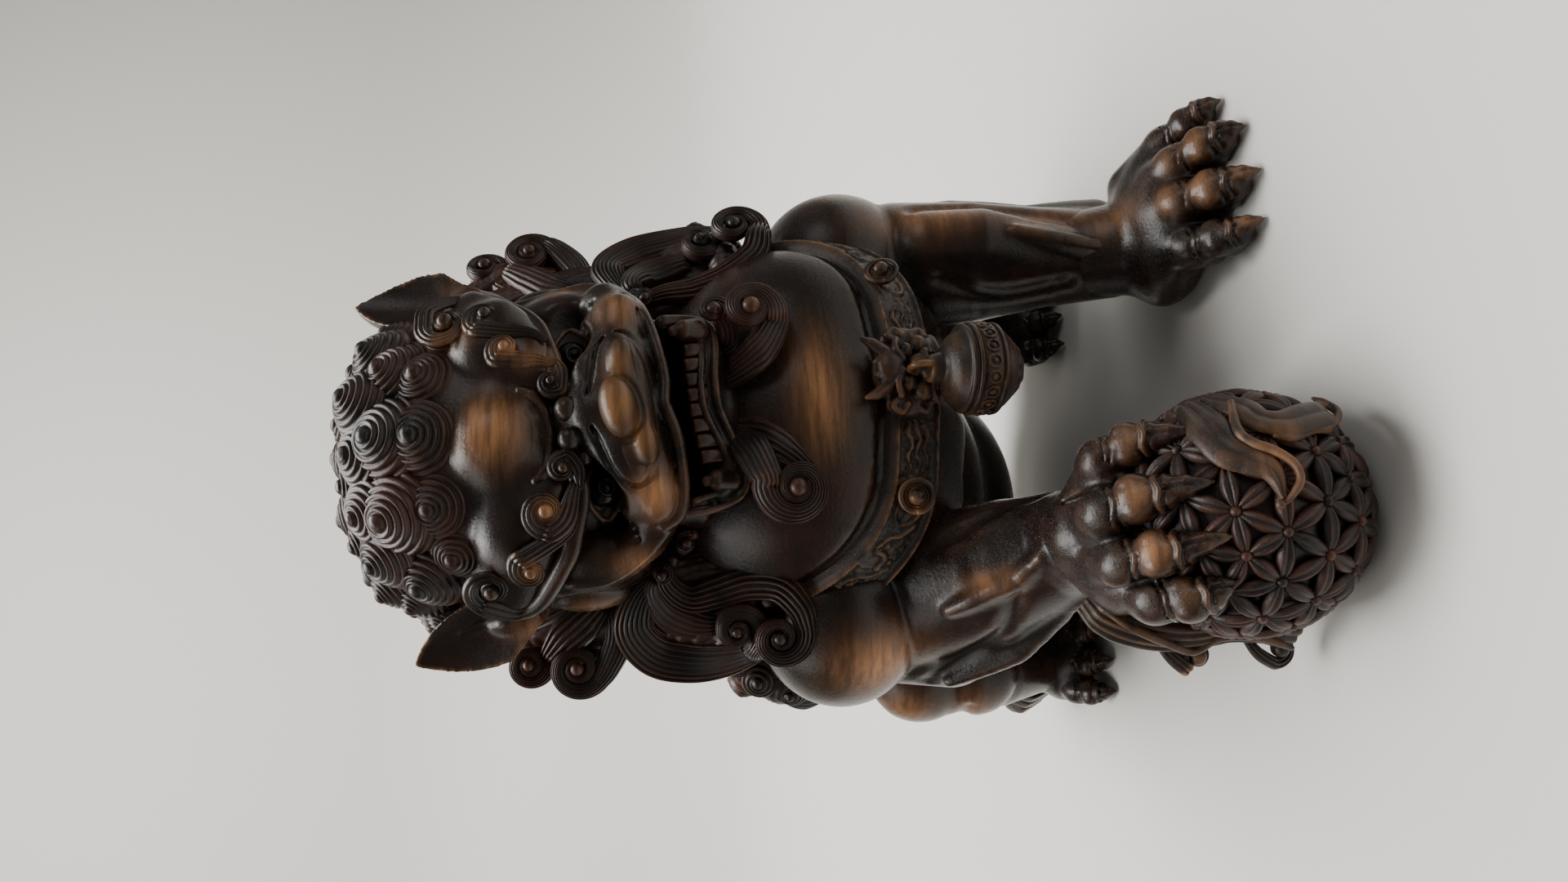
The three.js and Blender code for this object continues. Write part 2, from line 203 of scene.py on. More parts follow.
    def mesh(self):
        f = np.pad(self.f, 1, constant_values=3.0)
        grid = vdb.FloatGrid(FAR)
        grid.copyFromArray(np.ascontiguousarray(np.clip(f, -STEADY, STEADY)))
        points, tris, quads = grid.convertToPolygons(isovalue=0.0, adaptivity=0.0)
        v = (points.astype(float) - 1) * self.step + self.low
        faces = [tuple(q) for q in quads.tolist()] + [tuple(t) for t in tris.tolist()]
        return v, faces

    def cast(self):
        return largest_shells(*self.mesh())


def largest_shells(v, faces, least=60):
    """Drops specks: shells of fewer faces than least."""
    parent = np.arange(len(v))
    arr = [np.array([f for f in faces if len(f) == n]) for n in (3, 4)]
    edges = np.vstack([a[:, [i, (i + 1) % n]] for n, a in zip((3, 4), arr) if len(a) for i in range(n)])
    for _ in range(200):
        low = np.minimum(parent[edges[:, 0]], parent[edges[:, 1]])
        new = parent.copy()
        np.minimum.at(new, edges[:, 0], low)
        np.minimum.at(new, edges[:, 1], low)
        new = new[new]
        if (new == parent).all():
            break
        parent = new
    roots, count = np.unique(parent[np.array([f[0] for f in faces])], return_counts=True)
    keep = set(roots[count >= least].tolist())
    faces = [f for f in faces if int(parent[f[0]]) in keep]
    used = np.unique(np.concatenate([np.array(f) for f in faces]))
    index = np.full(len(v), -1)
    index[used] = np.arange(len(used))
    return v[used], [tuple(index[i] for i in f) for f in faces]


# ---------- strands, curls and small relief ----------
def tube_mesh(rings):
    """A closed body from stacked rings of equal length; rings is (n, m, 3)."""
    n, m, _ = rings.shape
    v = rings.reshape(-1, 3)
    i, j = np.meshgrid(np.arange(n - 1), np.arange(m), indexing="ij")
    a, b = (i * m + j).ravel(), (i * m + (j + 1) % m).ravel()
    faces = [tuple(q) for q in np.column_stack([a, b, b + m, a + m]).tolist()]
    v = np.vstack([v, rings[0].mean(0), rings[-1].mean(0)])
    first, last = n * m, n * m + 1
    faces += [(first, (k + 1) % m, k) for k in range(m)]
    faces += [(last, (n - 1) * m + k, (n - 1) * m + (k + 1) % m) for k in range(m)]
    return v, faces


def strand_band(path, normals, half, thick, strands=5, groove=0.9, sides=56):
    """A band of hair: rounded strands side by side on a domed section that follows path."""
    n = len(path)
    tangent = np.gradient(path, axis=0)
    tangent /= np.linalg.norm(tangent, axis=1)[:, None] + 1e-9
    across = np.cross(tangent, normals)
    across /= np.linalg.norm(across, axis=1)[:, None] + 1e-9
    up = np.cross(across, tangent)
    top = sides * 3 // 4
    u = np.concatenate([np.cos(np.linspace(math.pi, 0, top)), np.linspace(1, -1, sides - top + 2)[1:-1]])
    lift = np.sqrt(np.clip(1 - u**2, 0, 1))
    is_top = np.arange(sides) < top
    ridge = np.abs(np.sin(math.pi * strands * (u + 1) / 2)) - 0.6
    rings = np.zeros((n, sides, 3))
    for i in range(n):
        depth = min(groove, half[i] * 0.35)
        z = np.where(is_top, thick[i] * lift**0.8 + depth * ridge * (0.35 + 0.65 * lift), -thick[i] * 0.55
                     * lift)
        rings[i] = path[i] + np.outer(u * half[i], across[i]) + np.outer(z, up[i])
    return tube_mesh(rings)


def bead(centre, radius, n=14):
    """A small ball, open by a hair at its poles before its ends are closed."""
    t, p = np.meshgrid(np.linspace(0.12, math.pi - 0.12, n),
                       np.linspace(0, 2 * math.pi, 2 * n, endpoint=False), indexing="ij")
    rings = np.stack([np.sin(t) * np.cos(p), np.sin(t) * np.sin(p), -np.cos(t)], -1) * radius
    return tube_mesh(rings + np.asarray(centre, float))


def lock(stem, centre, normal, turn=1, half=8.0, thick=4.0, turns=1.6, strands=5, rise=5.0, groove=0.9,
         tail=0.25, decay=0.16, knob=0.9, spread=1.0):
    """A lock of hair: the stem runs into a spiral about centre that rises along normal.

    turn is 1 or -1 about normal; decay is how fast the spiral closes, and spread how much wider it gets.
    """
    stem, centre, n = np.asarray(stem, float), np.asarray(centre, float), unit(normal)
    e1 = unit(stem[-1] - centre - n * np.dot(stem[-1] - centre, n))
    e2 = np.cross(n, e1)
    d = np.linalg.norm(stem[-1] - centre - n * np.dot(stem[-1] - centre, n))
    r0 = min(half / 0.42, d * 0.96)
    start = turn * math.acos(min(r0 / d, 1.0))
    angles = start + turn * np.linspace(0, 2 * math.pi * turns, int(46 * turns))
    r = r0 * np.exp(-decay * np.abs(angles - start))
    lift = rise * (1 - r / r0)
    spiral = centre + np.outer(r * np.cos(angles), e1) + np.outer(r * np.sin(angles), e2) + np.outer(lift, n)
    stem_path = smooth_path(np.vstack([stem, spiral[:1]]), 12 * len(stem))
    path = np.vstack([stem_path[:-1], spiral])
    gap = np.linspace(0, 1, len(stem_path) - 1)
    fan = 1 + (spread - 1) * np.sin(math.pi * np.clip(gap, 0, 1)) ** 0.8
    widths = np.concatenate([half * fan * (tail + (1 - tail) * np.clip(gap * 1.6, 0, 1) ** 0.7),
                             half * r / r0])
    heights = np.concatenate([thick * (0.5 + 0.5 * gap), thick * (0.35 + 0.65 * r / r0)])
    normals = np.tile(n, (len(path), 1))
    parts = [strand_band(path, normals, widths, heights, strands, groove)]
    if knob:
        parts.append(bead(centre + n * (rise * 0.92 + thick * 0.2), r[-1] + knob))
    return merge(parts)


def snail(centre, axis, radius, height, rings=5.5, spin=1, phase=0.0, knob=0.17, skirt=3.0, around=72,
          rows=60):
    """A snail-shell curl: a cord wound up a dome, with a bead on top."""
    n = unit(axis)
    e1 = unit(np.cross(n, [0.3, 0.9, 0.2]))
    e2 = np.cross(n, e1)
    rho = np.linspace(1.0, 0.02, rows)
    theta = np.linspace(0, 2 * math.pi, around, endpoint=False)
    g, t = np.meshgrid(rho, theta, indexing="ij")
    wave = np.abs(np.sin(math.pi * (rings * g + spin * (t + phase) / (2 * math.pi))))
    base = height * (1 - g**1.85)
    cord = radius / rings * 0.5 * (wave - 0.5) * np.clip((g - knob * 0.8) / 0.12, 0, 1)
    top = np.where(g < knob * 1.25, radius * knob * 0.62
                   * np.sqrt(np.clip(1 - (g / (knob * 1.25)) ** 2, 0, 1)), 0)
    out = g * radius + 0.45 * cord
    z = base + 0.9 * cord + top
    shell = centre + out[..., None] * (np.cos(t)[..., None] * e1 + np.sin(t)[..., None]
                                       * e2) + z[..., None] * n
    foot = centre + 0.96 * radius * (np.cos(theta)[:, None] * e1 + np.sin(theta)[:, None] * e2) - skirt * n
    return tube_mesh(np.concatenate([foot[None], shell]))


def merge(parts):
    vs, fs, at = [], [], 0
    for v, f in parts:
        vs.append(v)
        fs += [tuple(i + at for i in face) for face in f]
        at += len(v)
    return np.vstack(vs), fs


def ribbon(points, normals, half, thick, strands, groove=0.8, sides=56):
    path = smooth_path(np.asarray(points, float), 14 * len(points))
    at = np.linspace(0, 1, len(path))
    key = np.linspace(0, 1, len(half))
    n = np.column_stack([np.interp(at, np.linspace(0, 1, len(normals)), np.array(normals, float)[:, k])
                         for k in range(3)])
    n /= np.linalg.norm(n, axis=1)[:, None]
    return strand_band(path, n, np.interp(at, key, half), np.full(len(path), thick)
                       * np.interp(at, [0, 0.08, 0.92, 1], [0.4, 1, 1, 0.4]), strands, groove, sides)


# ---------- objects ----------
RUBS = [  # where the bronze shows through: centre, radii, strength
    ((-12.0, -88.0, 239.5), (9.5, 13, 8.5), 0.78), ((19, -76, 250), (4.5, 9, 7), 0.35),
    ((-3, -94, 140), (17, 12, 7.5), 0.72), ((-85, -62, 118), (8.5, 13, 13), 0.95),
    ((85, -62, 112), (6, 10, 12), 0.3),
    ((-64, -88, 88), (3.2, 8, 10), 0.6), ((71, -72, 86), (8, 12, 22), 0.55),
    ((66, -84, 50), (6, 12, 16), 0.45), ((60, -92, 30), (6, 10, 10), 0.35), ((-98, 6, 92), (9, 12, 10), 0.45),
    ((-96, 4, 66), (6, 9, 8), 0.4),
    ((-67, -149, 69), (4.5, 4, 3.2), 0.7), ((-60, -150, 70), (3, 5, 3), 0.3),
    ((-51.5, -148, 72), (4.5, 4, 3.2), 0.45), ((-79, -148, 60), (4, 4, 3), 0.2),
    ((-34, -141, 67), (4, 5, 4), 0.3),
    ((56, -112, 23), (5, 4, 4), 0.5), ((56, -123, 16), (5, 3.6, 3.6), 0.75),
    ((72.5, -121, 15), (5, 3.6, 3.4), 0.5), ((70, -112, 20), (4, 3, 3), 0.35),
    ((56.7, -131, 6), (2, 5, 5), 0.4), ((41, -129, 6), (2, 5, 5), 0.4), ((-46, -167, 39), (12, 5, 8), 0.5),
] + [(on_head(p), r, s) for p, r, s in (
    ((-0.5, -77, -9.4), (8, 5, 4.2), 1.0), ((-10.5, -75, -16), (6, 5, 3.6), 0.8),
    ((11.5, -74, -12.0), (6, 5, 3.6), 0.7),
    ((-26.5, -66, -19.5), (6, 8, 5.5), 0.95), ((31.5, -60, -17), (6, 8, 6), 0.6),
    ((-44, -50, -13), (4, 7, 7), 0.5), ((47, -34, -6), (4, 7, 8), 0.25),
    ((-54, -22, -6), (3, 8, 8), 0.35), ((-57, -17, 16), (5, 7, 5), 0.35), ((58, -13, 25), (4, 6, 5), 0.15),
    ((-26.4, -60, 11.7), (2.6, 3, 2.6), 1.0), ((-42.5, -50, 17), (2.6, 3, 2.6), 0.7),
    ((24, -57, 17.2), (3.0, 3, 3.0), 1.0), ((19.5, -58, 8), (4, 4, 8), 0.35))]


def convexity(v, faces, rounds=3):
    """How far each vertex stands out of its neighbours, along its normal, as -1..1."""
    tri = np.array([f[:3] for f in faces])
    nrm = np.cross(v[tri[:, 1]] - v[tri[:, 0]], v[tri[:, 2]] - v[tri[:, 0]])
    normal = np.zeros_like(v)
    edges = []
    for size in (3, 4):
        a = np.array([f for f in faces if len(f) == size])
        rows = np.array([i for i, f in enumerate(faces) if len(f) == size])
        for k in range(size if len(a) else 0):
            np.add.at(normal, a[:, k], nrm[rows])
            edges.append(a[:, [k, (k + 1) % size]])
    e = np.vstack(edges)
    e = np.vstack([e, e[:, ::-1]])
    normal /= np.linalg.norm(normal, axis=1)[:, None] + 1e-12
    count = np.bincount(e[:, 0], minlength=len(v)).clip(1)

    def mean(s):
        return np.column_stack([np.bincount(e[:, 0], col[e[:, 1]], len(v)) / count for col in s.T])

    soft = v
    for _ in range(rounds):
        soft = mean(soft)
    out = np.einsum("ij,ij->i", v - soft, normal)
    scale = np.linalg.norm(v[e[:, 0]] - v[e[:, 1]], axis=1).mean() * rounds
    return np.clip(mean(out[:, None])[:, 0] / scale * 5, -1, 1)


def piece(name, shape, nodes, slot, rubs=1.0, edge=0.5, place=None):
    """A finished piece of the statue that stands for CAD nodes. edge is how much the ridges are rubbed."""
    v, faces = shape
    v = place(v) if place else v
    tri = np.array([f[:3] for f in faces])
    volume = np.einsum("ij,ij->i", v[tri[:, 0]], np.cross(v[tri[:, 1]], v[tri[:, 2]])).sum()
    v[:, 2] = np.maximum(v[:, 2], 0.0)
    bend = convexity(v, faces)
    rub = np.zeros(len(v))
    for centre, radii, strength in RUBS:
        q = ((v - np.array(centre)) / np.array(radii)) ** 2
        rub = np.maximum(rub, strength * np.exp(-0.9 * q.sum(1)))
    mesh = bpy.data.meshes.new(name)
    mesh.from_pydata(((v + OFFSET) * MM).tolist(), [], faces)
    fields = {"rub": rub * rubs, "ridge": np.clip(bend, 0, 1) * edge, "hollow": np.clip(-bend, 0, 1)}
    for key, value in fields.items():
        mesh.attributes.new(key, "FLOAT", "POINT").data.foreach_set("value", value.astype(np.float32))
    mesh.polygons.foreach_set("use_smooth", [True] * len(faces))
    if volume < 0:
        mesh.flip_normals()
    mesh.update()
    ob = bpy.data.objects.new(name, mesh)
    bpy.context.scene.collection.objects.link(ob)
    mesh.materials.append(MATERIALS[slot])
    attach(ob, "root")
    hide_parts(*nodes)
    return ob


# ---------- materials ----------
def finish_material(name, deep, warm, gold, rough=0.36, dust=0.35, red=0.5, bump=0.25):
    """Antique casting: dark lacquer, warm patches, rubbed bronze, dust on top faces, fine casting grain."""
    mat = bpy.data.materials.new(name)
    mat.use_nodes = True
    nt = mat.node_tree
    nt.nodes.clear()
    new, link = nt.nodes.new, nt.links.new

    def math_node(op, a, b, clamp):
        n = new("ShaderNodeMath")
        n.operation, n.use_clamp = op, clamp
        for i, x in enumerate((a, b)):
            if isinstance(x, float):
                n.inputs[i].default_value = x
            else:
                link(x, n.inputs[i])
        return n.outputs[0]

    def times(a, b, clamp=False):
        return math_node("MULTIPLY", a, b, clamp)

    def plus(a, b, clamp=False):
        return math_node("ADD", a, b, clamp)

    def noise(scale, detail=4.0, stretch=None):
        n = new("ShaderNodeTexNoise")
        n.inputs["Scale"].default_value, n.inputs["Detail"].default_value = scale, detail
        n.inputs["Roughness"].default_value = 0.6
        vec = coords
        if stretch:
            m = new("ShaderNodeMapping")
            m.inputs["Scale"].default_value = stretch
            link(coords, m.inputs["Vector"])
            vec = m.outputs[0]
        link(vec, n.inputs["Vector"])
        return n.outputs["Fac"]

    def ramp(x, a, b):
        n = new("ShaderNodeMapRange")
        n.interpolation_type = "SMOOTHSTEP"
        n.inputs["From Min"].default_value, n.inputs["From Max"].default_value = a, b
        link(x, n.inputs["Value"])
        return n.outputs[0]

    def blend(fac, a, b):
        n = new("ShaderNodeMix")
        n.data_type = "RGBA"
        link(fac, n.inputs[0])
        for i, x in ((6, a), (7, b)):
            if isinstance(x, tuple):
                n.inputs[i].default_value = (*x, 1.0)
            else:
                link(x, n.inputs[i])
        return n.outputs[2]

    def field(key):
        n = new("ShaderNodeAttribute")
        n.attribute_name = key
        return n.outputs["Fac"]

    coords = new("ShaderNodeTexCoord").outputs["Object"]
    rub, ridge, hollow = field("rub"), field("ridge"), field("hollow")
    patches = ramp(noise(38.0, 3.0), 0.40, 0.68)
    streaks = ramp(noise(260.0, 5.0, (0.16, 0.5, 1.6)), 0.30, 0.70)
    wear = times(ridge, ramp(noise(120.0, 4.0), 0.34, 0.62))
    shine = times(plus(times(streaks, 0.65), 0.42), rub)
    gilding = plus(shine, wear, True)
    colour = blend(times(patches, red), deep, warm)
    colour = blend(times(hollow, 0.9, True), colour, tuple(c * 0.30 for c in deep))
    colour = blend(gilding, colour, gold)
    geo = new("ShaderNodeNewGeometry")
    sep = new("ShaderNodeSeparateXYZ")
    link(geo.outputs["Normal"], sep.inputs[0])
    facing_up = ramp(sep.outputs[2], 0.15, 0.95)
    specks = ramp(noise(3000.0, 2.0), 0.58, 0.70)
    film = ramp(noise(60.0, 5.0), 0.30, 0.75)
    dusty = times(facing_up, plus(times(film, 0.30), times(specks, 1.9)))
    dusty = times(dusty, dust, True)
    colour = blend(dusty, colour, (0.21, 0.195, 0.18))
    shader = new("ShaderNodeBsdfPrincipled")
    link(colour, shader.inputs["Base Color"])
    gloss = plus(times(noise(220.0, 4.0), 0.22), rough - 0.11)
    gloss = plus(gloss, times(dusty, 0.6))
    gloss = plus(gloss, times(hollow, 0.25), True)
    link(gloss, shader.inputs["Roughness"])
    shader.inputs["Specular IOR Level"].default_value = 0.30
    height = plus(noise(900.0, 5.0), times(times(streaks, rub), 0.7))
    b = new("ShaderNodeBump")
    b.inputs["Strength"].default_value, b.inputs["Distance"].default_value = bump, 0.0005
    link(height, b.inputs["Height"])
    link(b.outputs[0], shader.inputs["Normal"])
    out = new("ShaderNodeOutputMaterial")
    link(shader.outputs[0], out.inputs[0])
    return mat


ESPRESSO, RED_BROWN, BRONZE = (0.0072, 0.0052, 0.0043), (0.026, 0.0090, 0.0056), (0.46, 0.220, 0.096)
MATERIALS = {
    "skin": finish_material("skin_lacquer", ESPRESSO, RED_BROWN, BRONZE, 0.25, 0.26, red=0.7),
    "hair": finish_material("hair_lacquer", (0.0095, 0.0072, 0.0060), (0.044, 0.0145, 0.0085),
                            (0.15, 0.056, 0.030), 0.33, 0.22, red=0.7),
    "gilt": finish_material("rubbed_relief", (0.012, 0.008, 0.006), (0.042, 0.016, 0.009),
                            (0.27, 0.125, 0.042), 0.34, 0.15),
    "relief": finish_material("stippled_relief", (0.013, 0.010, 0.0082), (0.032, 0.015, 0.010),
                              (0.27, 0.130, 0.060), 0.38, 0.26),
    "ball": finish_material("ball_lacquer", (0.010, 0.0085, 0.0075), (0.024, 0.011, 0.009),
                            (0.12, 0.042, 0.026), 0.38, 0.26),
    "eye": finish_material("eye_gloss", (0.005, 0.0045, 0.0045), (0.009, 0.007, 0.006), (0.04, 0.028, 0.024),
                           0.16, 0.03, bump=0.1),
    "ivory_brown": finish_material("teeth_lacquer", (0.016, 0.009, 0.007), (0.055, 0.022, 0.013),
                                   (0.19, 0.080, 0.038), 0.30, 0.05),
}


# ---------- body ----------
COLLAR_AT, COLLAR_TILT = np.array([0.0, -88.0, 109.0]), math.radians(42)


def along_collar(x, y, z):
    """Across-band distance s and round-the-chest distance a of points, in mm."""
    s = -(y - COLLAR_AT[1]) * math.sin(COLLAR_TILT) + (z - COLLAR_AT[2]) * math.cos(COLLAR_TILT)
    a = np.arctan2(x, -(y + 33.0)) * 62.0
    return s, a


def torso_form(clay):
    clay.blob((0, 8, 112), (55, 60, 50)).blob((0, 46, 82), (60, 44, 46), 8, (-20, 0, 0))
    clay.blob((0, 70, 44), (50, 30, 33), 8).tube([(0, -20, 168, 44), (-3, -22, 196, 36)], 6)
    clay.blob((0, -33, 130), (57, 59, 55), 5)
    for side in (-1, 1):
        clay.blob((side * 23, -34, 131), (42.5, 55, 52.5), 4)
    return clay


def smoothstep(x, a, b):
    t = np.clip((x - a) / (b - a), 0, 1)
    return t * t * (3 - 2 * t)


def make_torso():
    c = torso_form(Clay((-75, -100, -3), (75, 116, 228), STEP * 1.1))
    y, z = c.y, c.z
    s, _ = along_collar(0, y, z)
    front = (1 - smoothstep(y, -40, -20)) * (1 - smoothstep(z, 178, 188))
    c.f -= (1.6 * smoothstep(s, 10.5, 13.5) * front).astype(np.float32)
    # spine, rump and the folds of the belly
    c.tube([(0, 92, 60, 7), (0, 84, 100, 7), (0, 62, 138, 8)], 9)
    for side in (-1, 1):
        c.crease([(side * 30, -60, 84), (side * 16, -50, 74), (side * 10, -30, 66)], 1.0, 4)
        c.crease([(side * 50, 66, 92), (side * 56, 40, 112), (side * 54, 8, 128)], 1.5, 7)
        c.crease([(side * 58, 40, 96), (side * 56, 16, 86), (side * 50, -6, 74)], 1.2, 6)
        c.crease([(side * 40, 88, 74), (side * 50, 74, 100), (side * 48, 48, 126)], 1.2, 6)
    c.crease([(0, -79, 96), (0, -62, 80), (0, -30, 66)], 1.0, 4)
    return c.above(0.4).cast()


def relief_map(size=(260, 72), per_mm=4):
    """Height of the collar's ornament over a (round) and s (across), drawn as strokes."""
    na, ns = size[0] * per_mm, size[1] * per_mm // 4
    a = (np.arange(na) + 0.5) / per_mm - size[0] / 2
    s = (np.arange(ns) + 0.5) / per_mm - ns / per_mm / 2
    A, S = np.meshgrid(a, s, indexing="ij")
    h = np.zeros_like(A)
    rng = np.random.default_rng(7)
    for pa, ps in zip(rng.uniform(-size[0] / 2, size[0] / 2, 1500), rng.uniform(-6.2, 6.2, 1500)):
        i = int((pa + size[0] / 2) * per_mm)
        w = slice(max(i - 6, 0), i + 6)
        h[w] = np.maximum(h[w], 0.55 * np.exp(-((A[w] - pa) ** 2 + (S[w] - ps) ** 2) / 0.45))

    def stroke(points, width, tall, taper=0.3):
        nonlocal h
        path = smooth_path(points, 60)
        low, high = path.min(0) - 3, path.max(0) + 3
        w = slice(int(max((low[0] + size[0] / 2) * per_mm, 0)), int((high[0] + size[0] / 2) * per_mm))
        best = np.full(A[w].shape, 9.0)
        for k, p in enumerate(path):
            scale = 1 - (1 - taper) * k / (len(path) - 1)
            best = np.minimum(best, np.hypot(A[w] - p[0], S[w] - p[1]) / (width * scale))
        clear = np.clip((best - 1.1) / 0.8, 0, 1)
        h[w] = np.where(best < 1.9, h[w] * clear, h[w])
        h[w] = np.maximum(h[w], tall * np.sqrt(np.clip(1 - best**2, 0, 1)))

    def swirl(a0, s0, r, sense, tail=()):
        t = np.linspace(0, 3.6 * math.pi, 40)
        q = r * np.exp(-0.16 * t)
        pts = np.column_stack([a0 + sense * q * np.cos(t), s0 + q * np.sin(t)])
        stroke(np.vstack([np.array(tail).reshape(-1, 2), pts]) if len(tail) else pts, 0.95, 1.2, 0.6)
        stroke([(a0, s0), (a0 + 0.1, s0)], 1.0, 1.5, 1.0)

    for side in (-1, 1):
        for k, s0 in enumerate((3.4, 0.4, -2.8)):  # flames that stream from the mask
            wave = [(side * (14 + 2.6 * j), s0 + 0.95 * math.sin(j * 1.9 + k) - 0.05 * j) for j in range(7)]
            stroke(wave, 1.35, 1.35, 0.15)
        stud = side * 40
        t = np.linspace(0, 2 * math.pi, 40)
        stroke(np.column_stack([stud + 5.2 * np.cos(t), 5.0 * np.sin(t) * 0.98]), 0.7, 1.1, 1.0)
        for j, (a0, s0, r) in enumerate(((51, 2.2, 2.8), (57, -2.4, 2.9), (64, 2.4, 2.8), (71, -1.6, 2.6),
                                         (79, 2.0, 2.4), (87, -2.0, 2.3), (95, 1.8, 2.2), (104, -1.5, 2.1))):
            swirl(side * a0, s0, r, side if j % 2 else -side, [(side * (a0 - 4.5), s0 * -1.6),
                                                               (side * (a0 - 2.5), s0 * -0.2)])
    return h, size[0] / 2, ns / per_mm / 2, per_mm


def make_collar():
    c = torso_form(Clay((-70, -102, 72), (70, -44, 164), grain(0.6)))
    x, y, z = c.x, c.y, c.z
    s, a = along_collar(x, y, z)
    h, half_a, half_s, per = relief_map()
    i = np.clip(((a + half_a) * per).astype(int), 0, h.shape[0] - 1)
    j = np.clip(((s + half_s) * per).astype(int), 0, h.shape[1] - 1)
    rim = np.exp(-(((np.abs(s) - 8.0) / 0.95) ** 2))
    body = c.f.copy()
    c.f = (body - (2.3 + h[i, j] + 1.9 * rim)).astype(np.float32)
    c.keep(np.abs(s) - 9.0, 0.8)
    c.keep(-body - 1.0, 0.4)
    c.keep(y + 50.0, 0.5)
    c.keep(z - 158.0, 0.5)
    return c.cast()


def make_foreleg_right():
    c = Clay((-104, -116, 48), (-22, 2, 160))
    c.tube([(-60, -44, 100, 24), (-58, -68, 82, 22.5), (-54, -92, 67, 17.5), (-54, -104, 66, 15.5)], 3)
    c.tube([(-72, -28, 104, 16), (-76, -40, 88, 15.5), (-72, -60, 74, 13), (-66, -78, 66, 10)], 2.2)
    c.blob((-74, -30, 86), (14, 18, 16), 2.5)
    c.tube([(-52, -58, 98, 15), (-50, -80, 82, 13), (-49, -98, 72, 8)], 4)
    c.blob((-66, -38, 126), (29.5, 31, 28), 1.4)
    # the edge of the forearm muscle and its creases
    c.crease([(-86, -40, 96), (-82, -62, 88), (-74, -78, 83), (-64, -92, 82)], 1.4, 5.0)
    c.crease([(-70, -76, 100), (-67, -86, 92), (-62, -95, 82), (-58, -104, 76)], 2.4, 5.0, -1.2, True)
    c.crease([(-86, -58, 74), (-78, -80, 64), (-68, -96, 58)], 1.4, 5.5)
    c.crease([(-52, -72, 100), (-46, -86, 84), (-42, -98, 72)], 1.2, 5.0)
    c.crease([(-90, -46, 92), (-88, -60, 80), (-81, -75, 67), (-77, -94, 61)], 2.2, 4.5, -1.0, True)
    return c.cast()


def make_foreleg_left():
    c = Clay((22, -94, 8), (96, 2, 152))
    c.tube([(62, -44, 94, 24), (60, -54, 70, 22), (58, -64, 44, 18), (57, -70, 22, 16)], 3)
    c.tube([(74, -34, 96, 15), (76, -40, 70, 15), (72, -54, 44, 12), (70, -66, 24, 10)], 2.0)
    c.tube([(62, -62, 88, 13), (61, -68, 70, 12.5), (57, -72, 46, 10), (54, -76, 24, 9)], 2.4)
    c.blob((76, -28, 78), (14.5, 17, 20), 3)
    c.blob((61.5, -38, 116), (29, 31.5, 29.5), 1.4)
    c.crease([(74, -64, 92), (72, -70, 70), (67, -78, 50), (62, -84, 34)], 1.4, 5.0)
    c.crease([(48, -66, 86), (43, -66, 64), (44, -74, 42)], 1.3, 5.0)
    c.crease([(60, -80, 62), (55, -84, 44), (52, -88, 34), (52, -92, 24)], 2.4, 4.5, -1.2, True)
    c.crease([(84, -52, 74), (82, -56, 52), (78, -62, 32)], 1.3, 5.0)
    return c.above(0.2).cast()


def toe(c, k1, k2, cut, tip, size, splay=(1, 0, 0), low_root=None):
    """A toe: big knuckle, a cleft second knuckle, the folds of the cuticle, and a ridged claw."""
    k1, k2, cut, tip = (np.array(p, float) for p in (k1, k2, cut, tip))
    fwd, side = unit(tip - k2), unit(splay)
    side = unit(side - fwd * np.dot(side, fwd))
    up = np.cross(side, fwd)
    up = up if up[2] > 0 else -up
    c.blob(k1, (size * 0.80, size * 1.02, size * 0.78), 2.2)
    if low_root is not None:
        c.tube([(*k1, size * 0.76), (*low_root, size * 0.8)], 2.5)
    c.tube([(*k1, size * 0.70), (*k2, size * 0.66)], 2.0)
    for s in (-1, 1):
        c.blob(k2 + side * s * size * 0.37, (size * 0.44, size * 0.62, size * 0.58), 0.4)
    c.tube([(*(k2 + fwd * size * 0.2), size * 0.66), (*cut, size * 0.60)], 0.8)

    def across(at, wide, high, radius, raised):
        c.strip([at + side * wide, at + side * wide * 0.62 + up * high * 0.7, at + up * high + fwd * 1.2,
                 at - side * wide * 0.62 + up * high * 0.7, at - side * wide], radius, 0.6, not raised, 20)

    across(k1 + (k2 - k1) * 0.50, size * 0.74, size * 0.76, 0.45, False)
    across(k1 + (k2 - k1) * 0.28, size * 0.78, size * 0.80, 0.40, False)
    across(cut - fwd * 1.9, size * 0.64, size * 0.66, 0.55, False)
    across(cut - fwd * 0.6, size * 0.60, size * 0.62, 0.85, True)
    across(cut + fwd * 0.7, size * 0.56, size * 0.58, 0.55, False)
    mid = cut + (tip - cut) * 0.5 + up * 1.1
    c.tube([(*cut, size * 0.50), (*mid, size * 0.36), (*tip, 0.8)], 0.5)
    c.strip([cut + up * size * 0.44, mid + up * size * 0.33, tip + up * 0.6], 0.5, 0.7, True, 20)


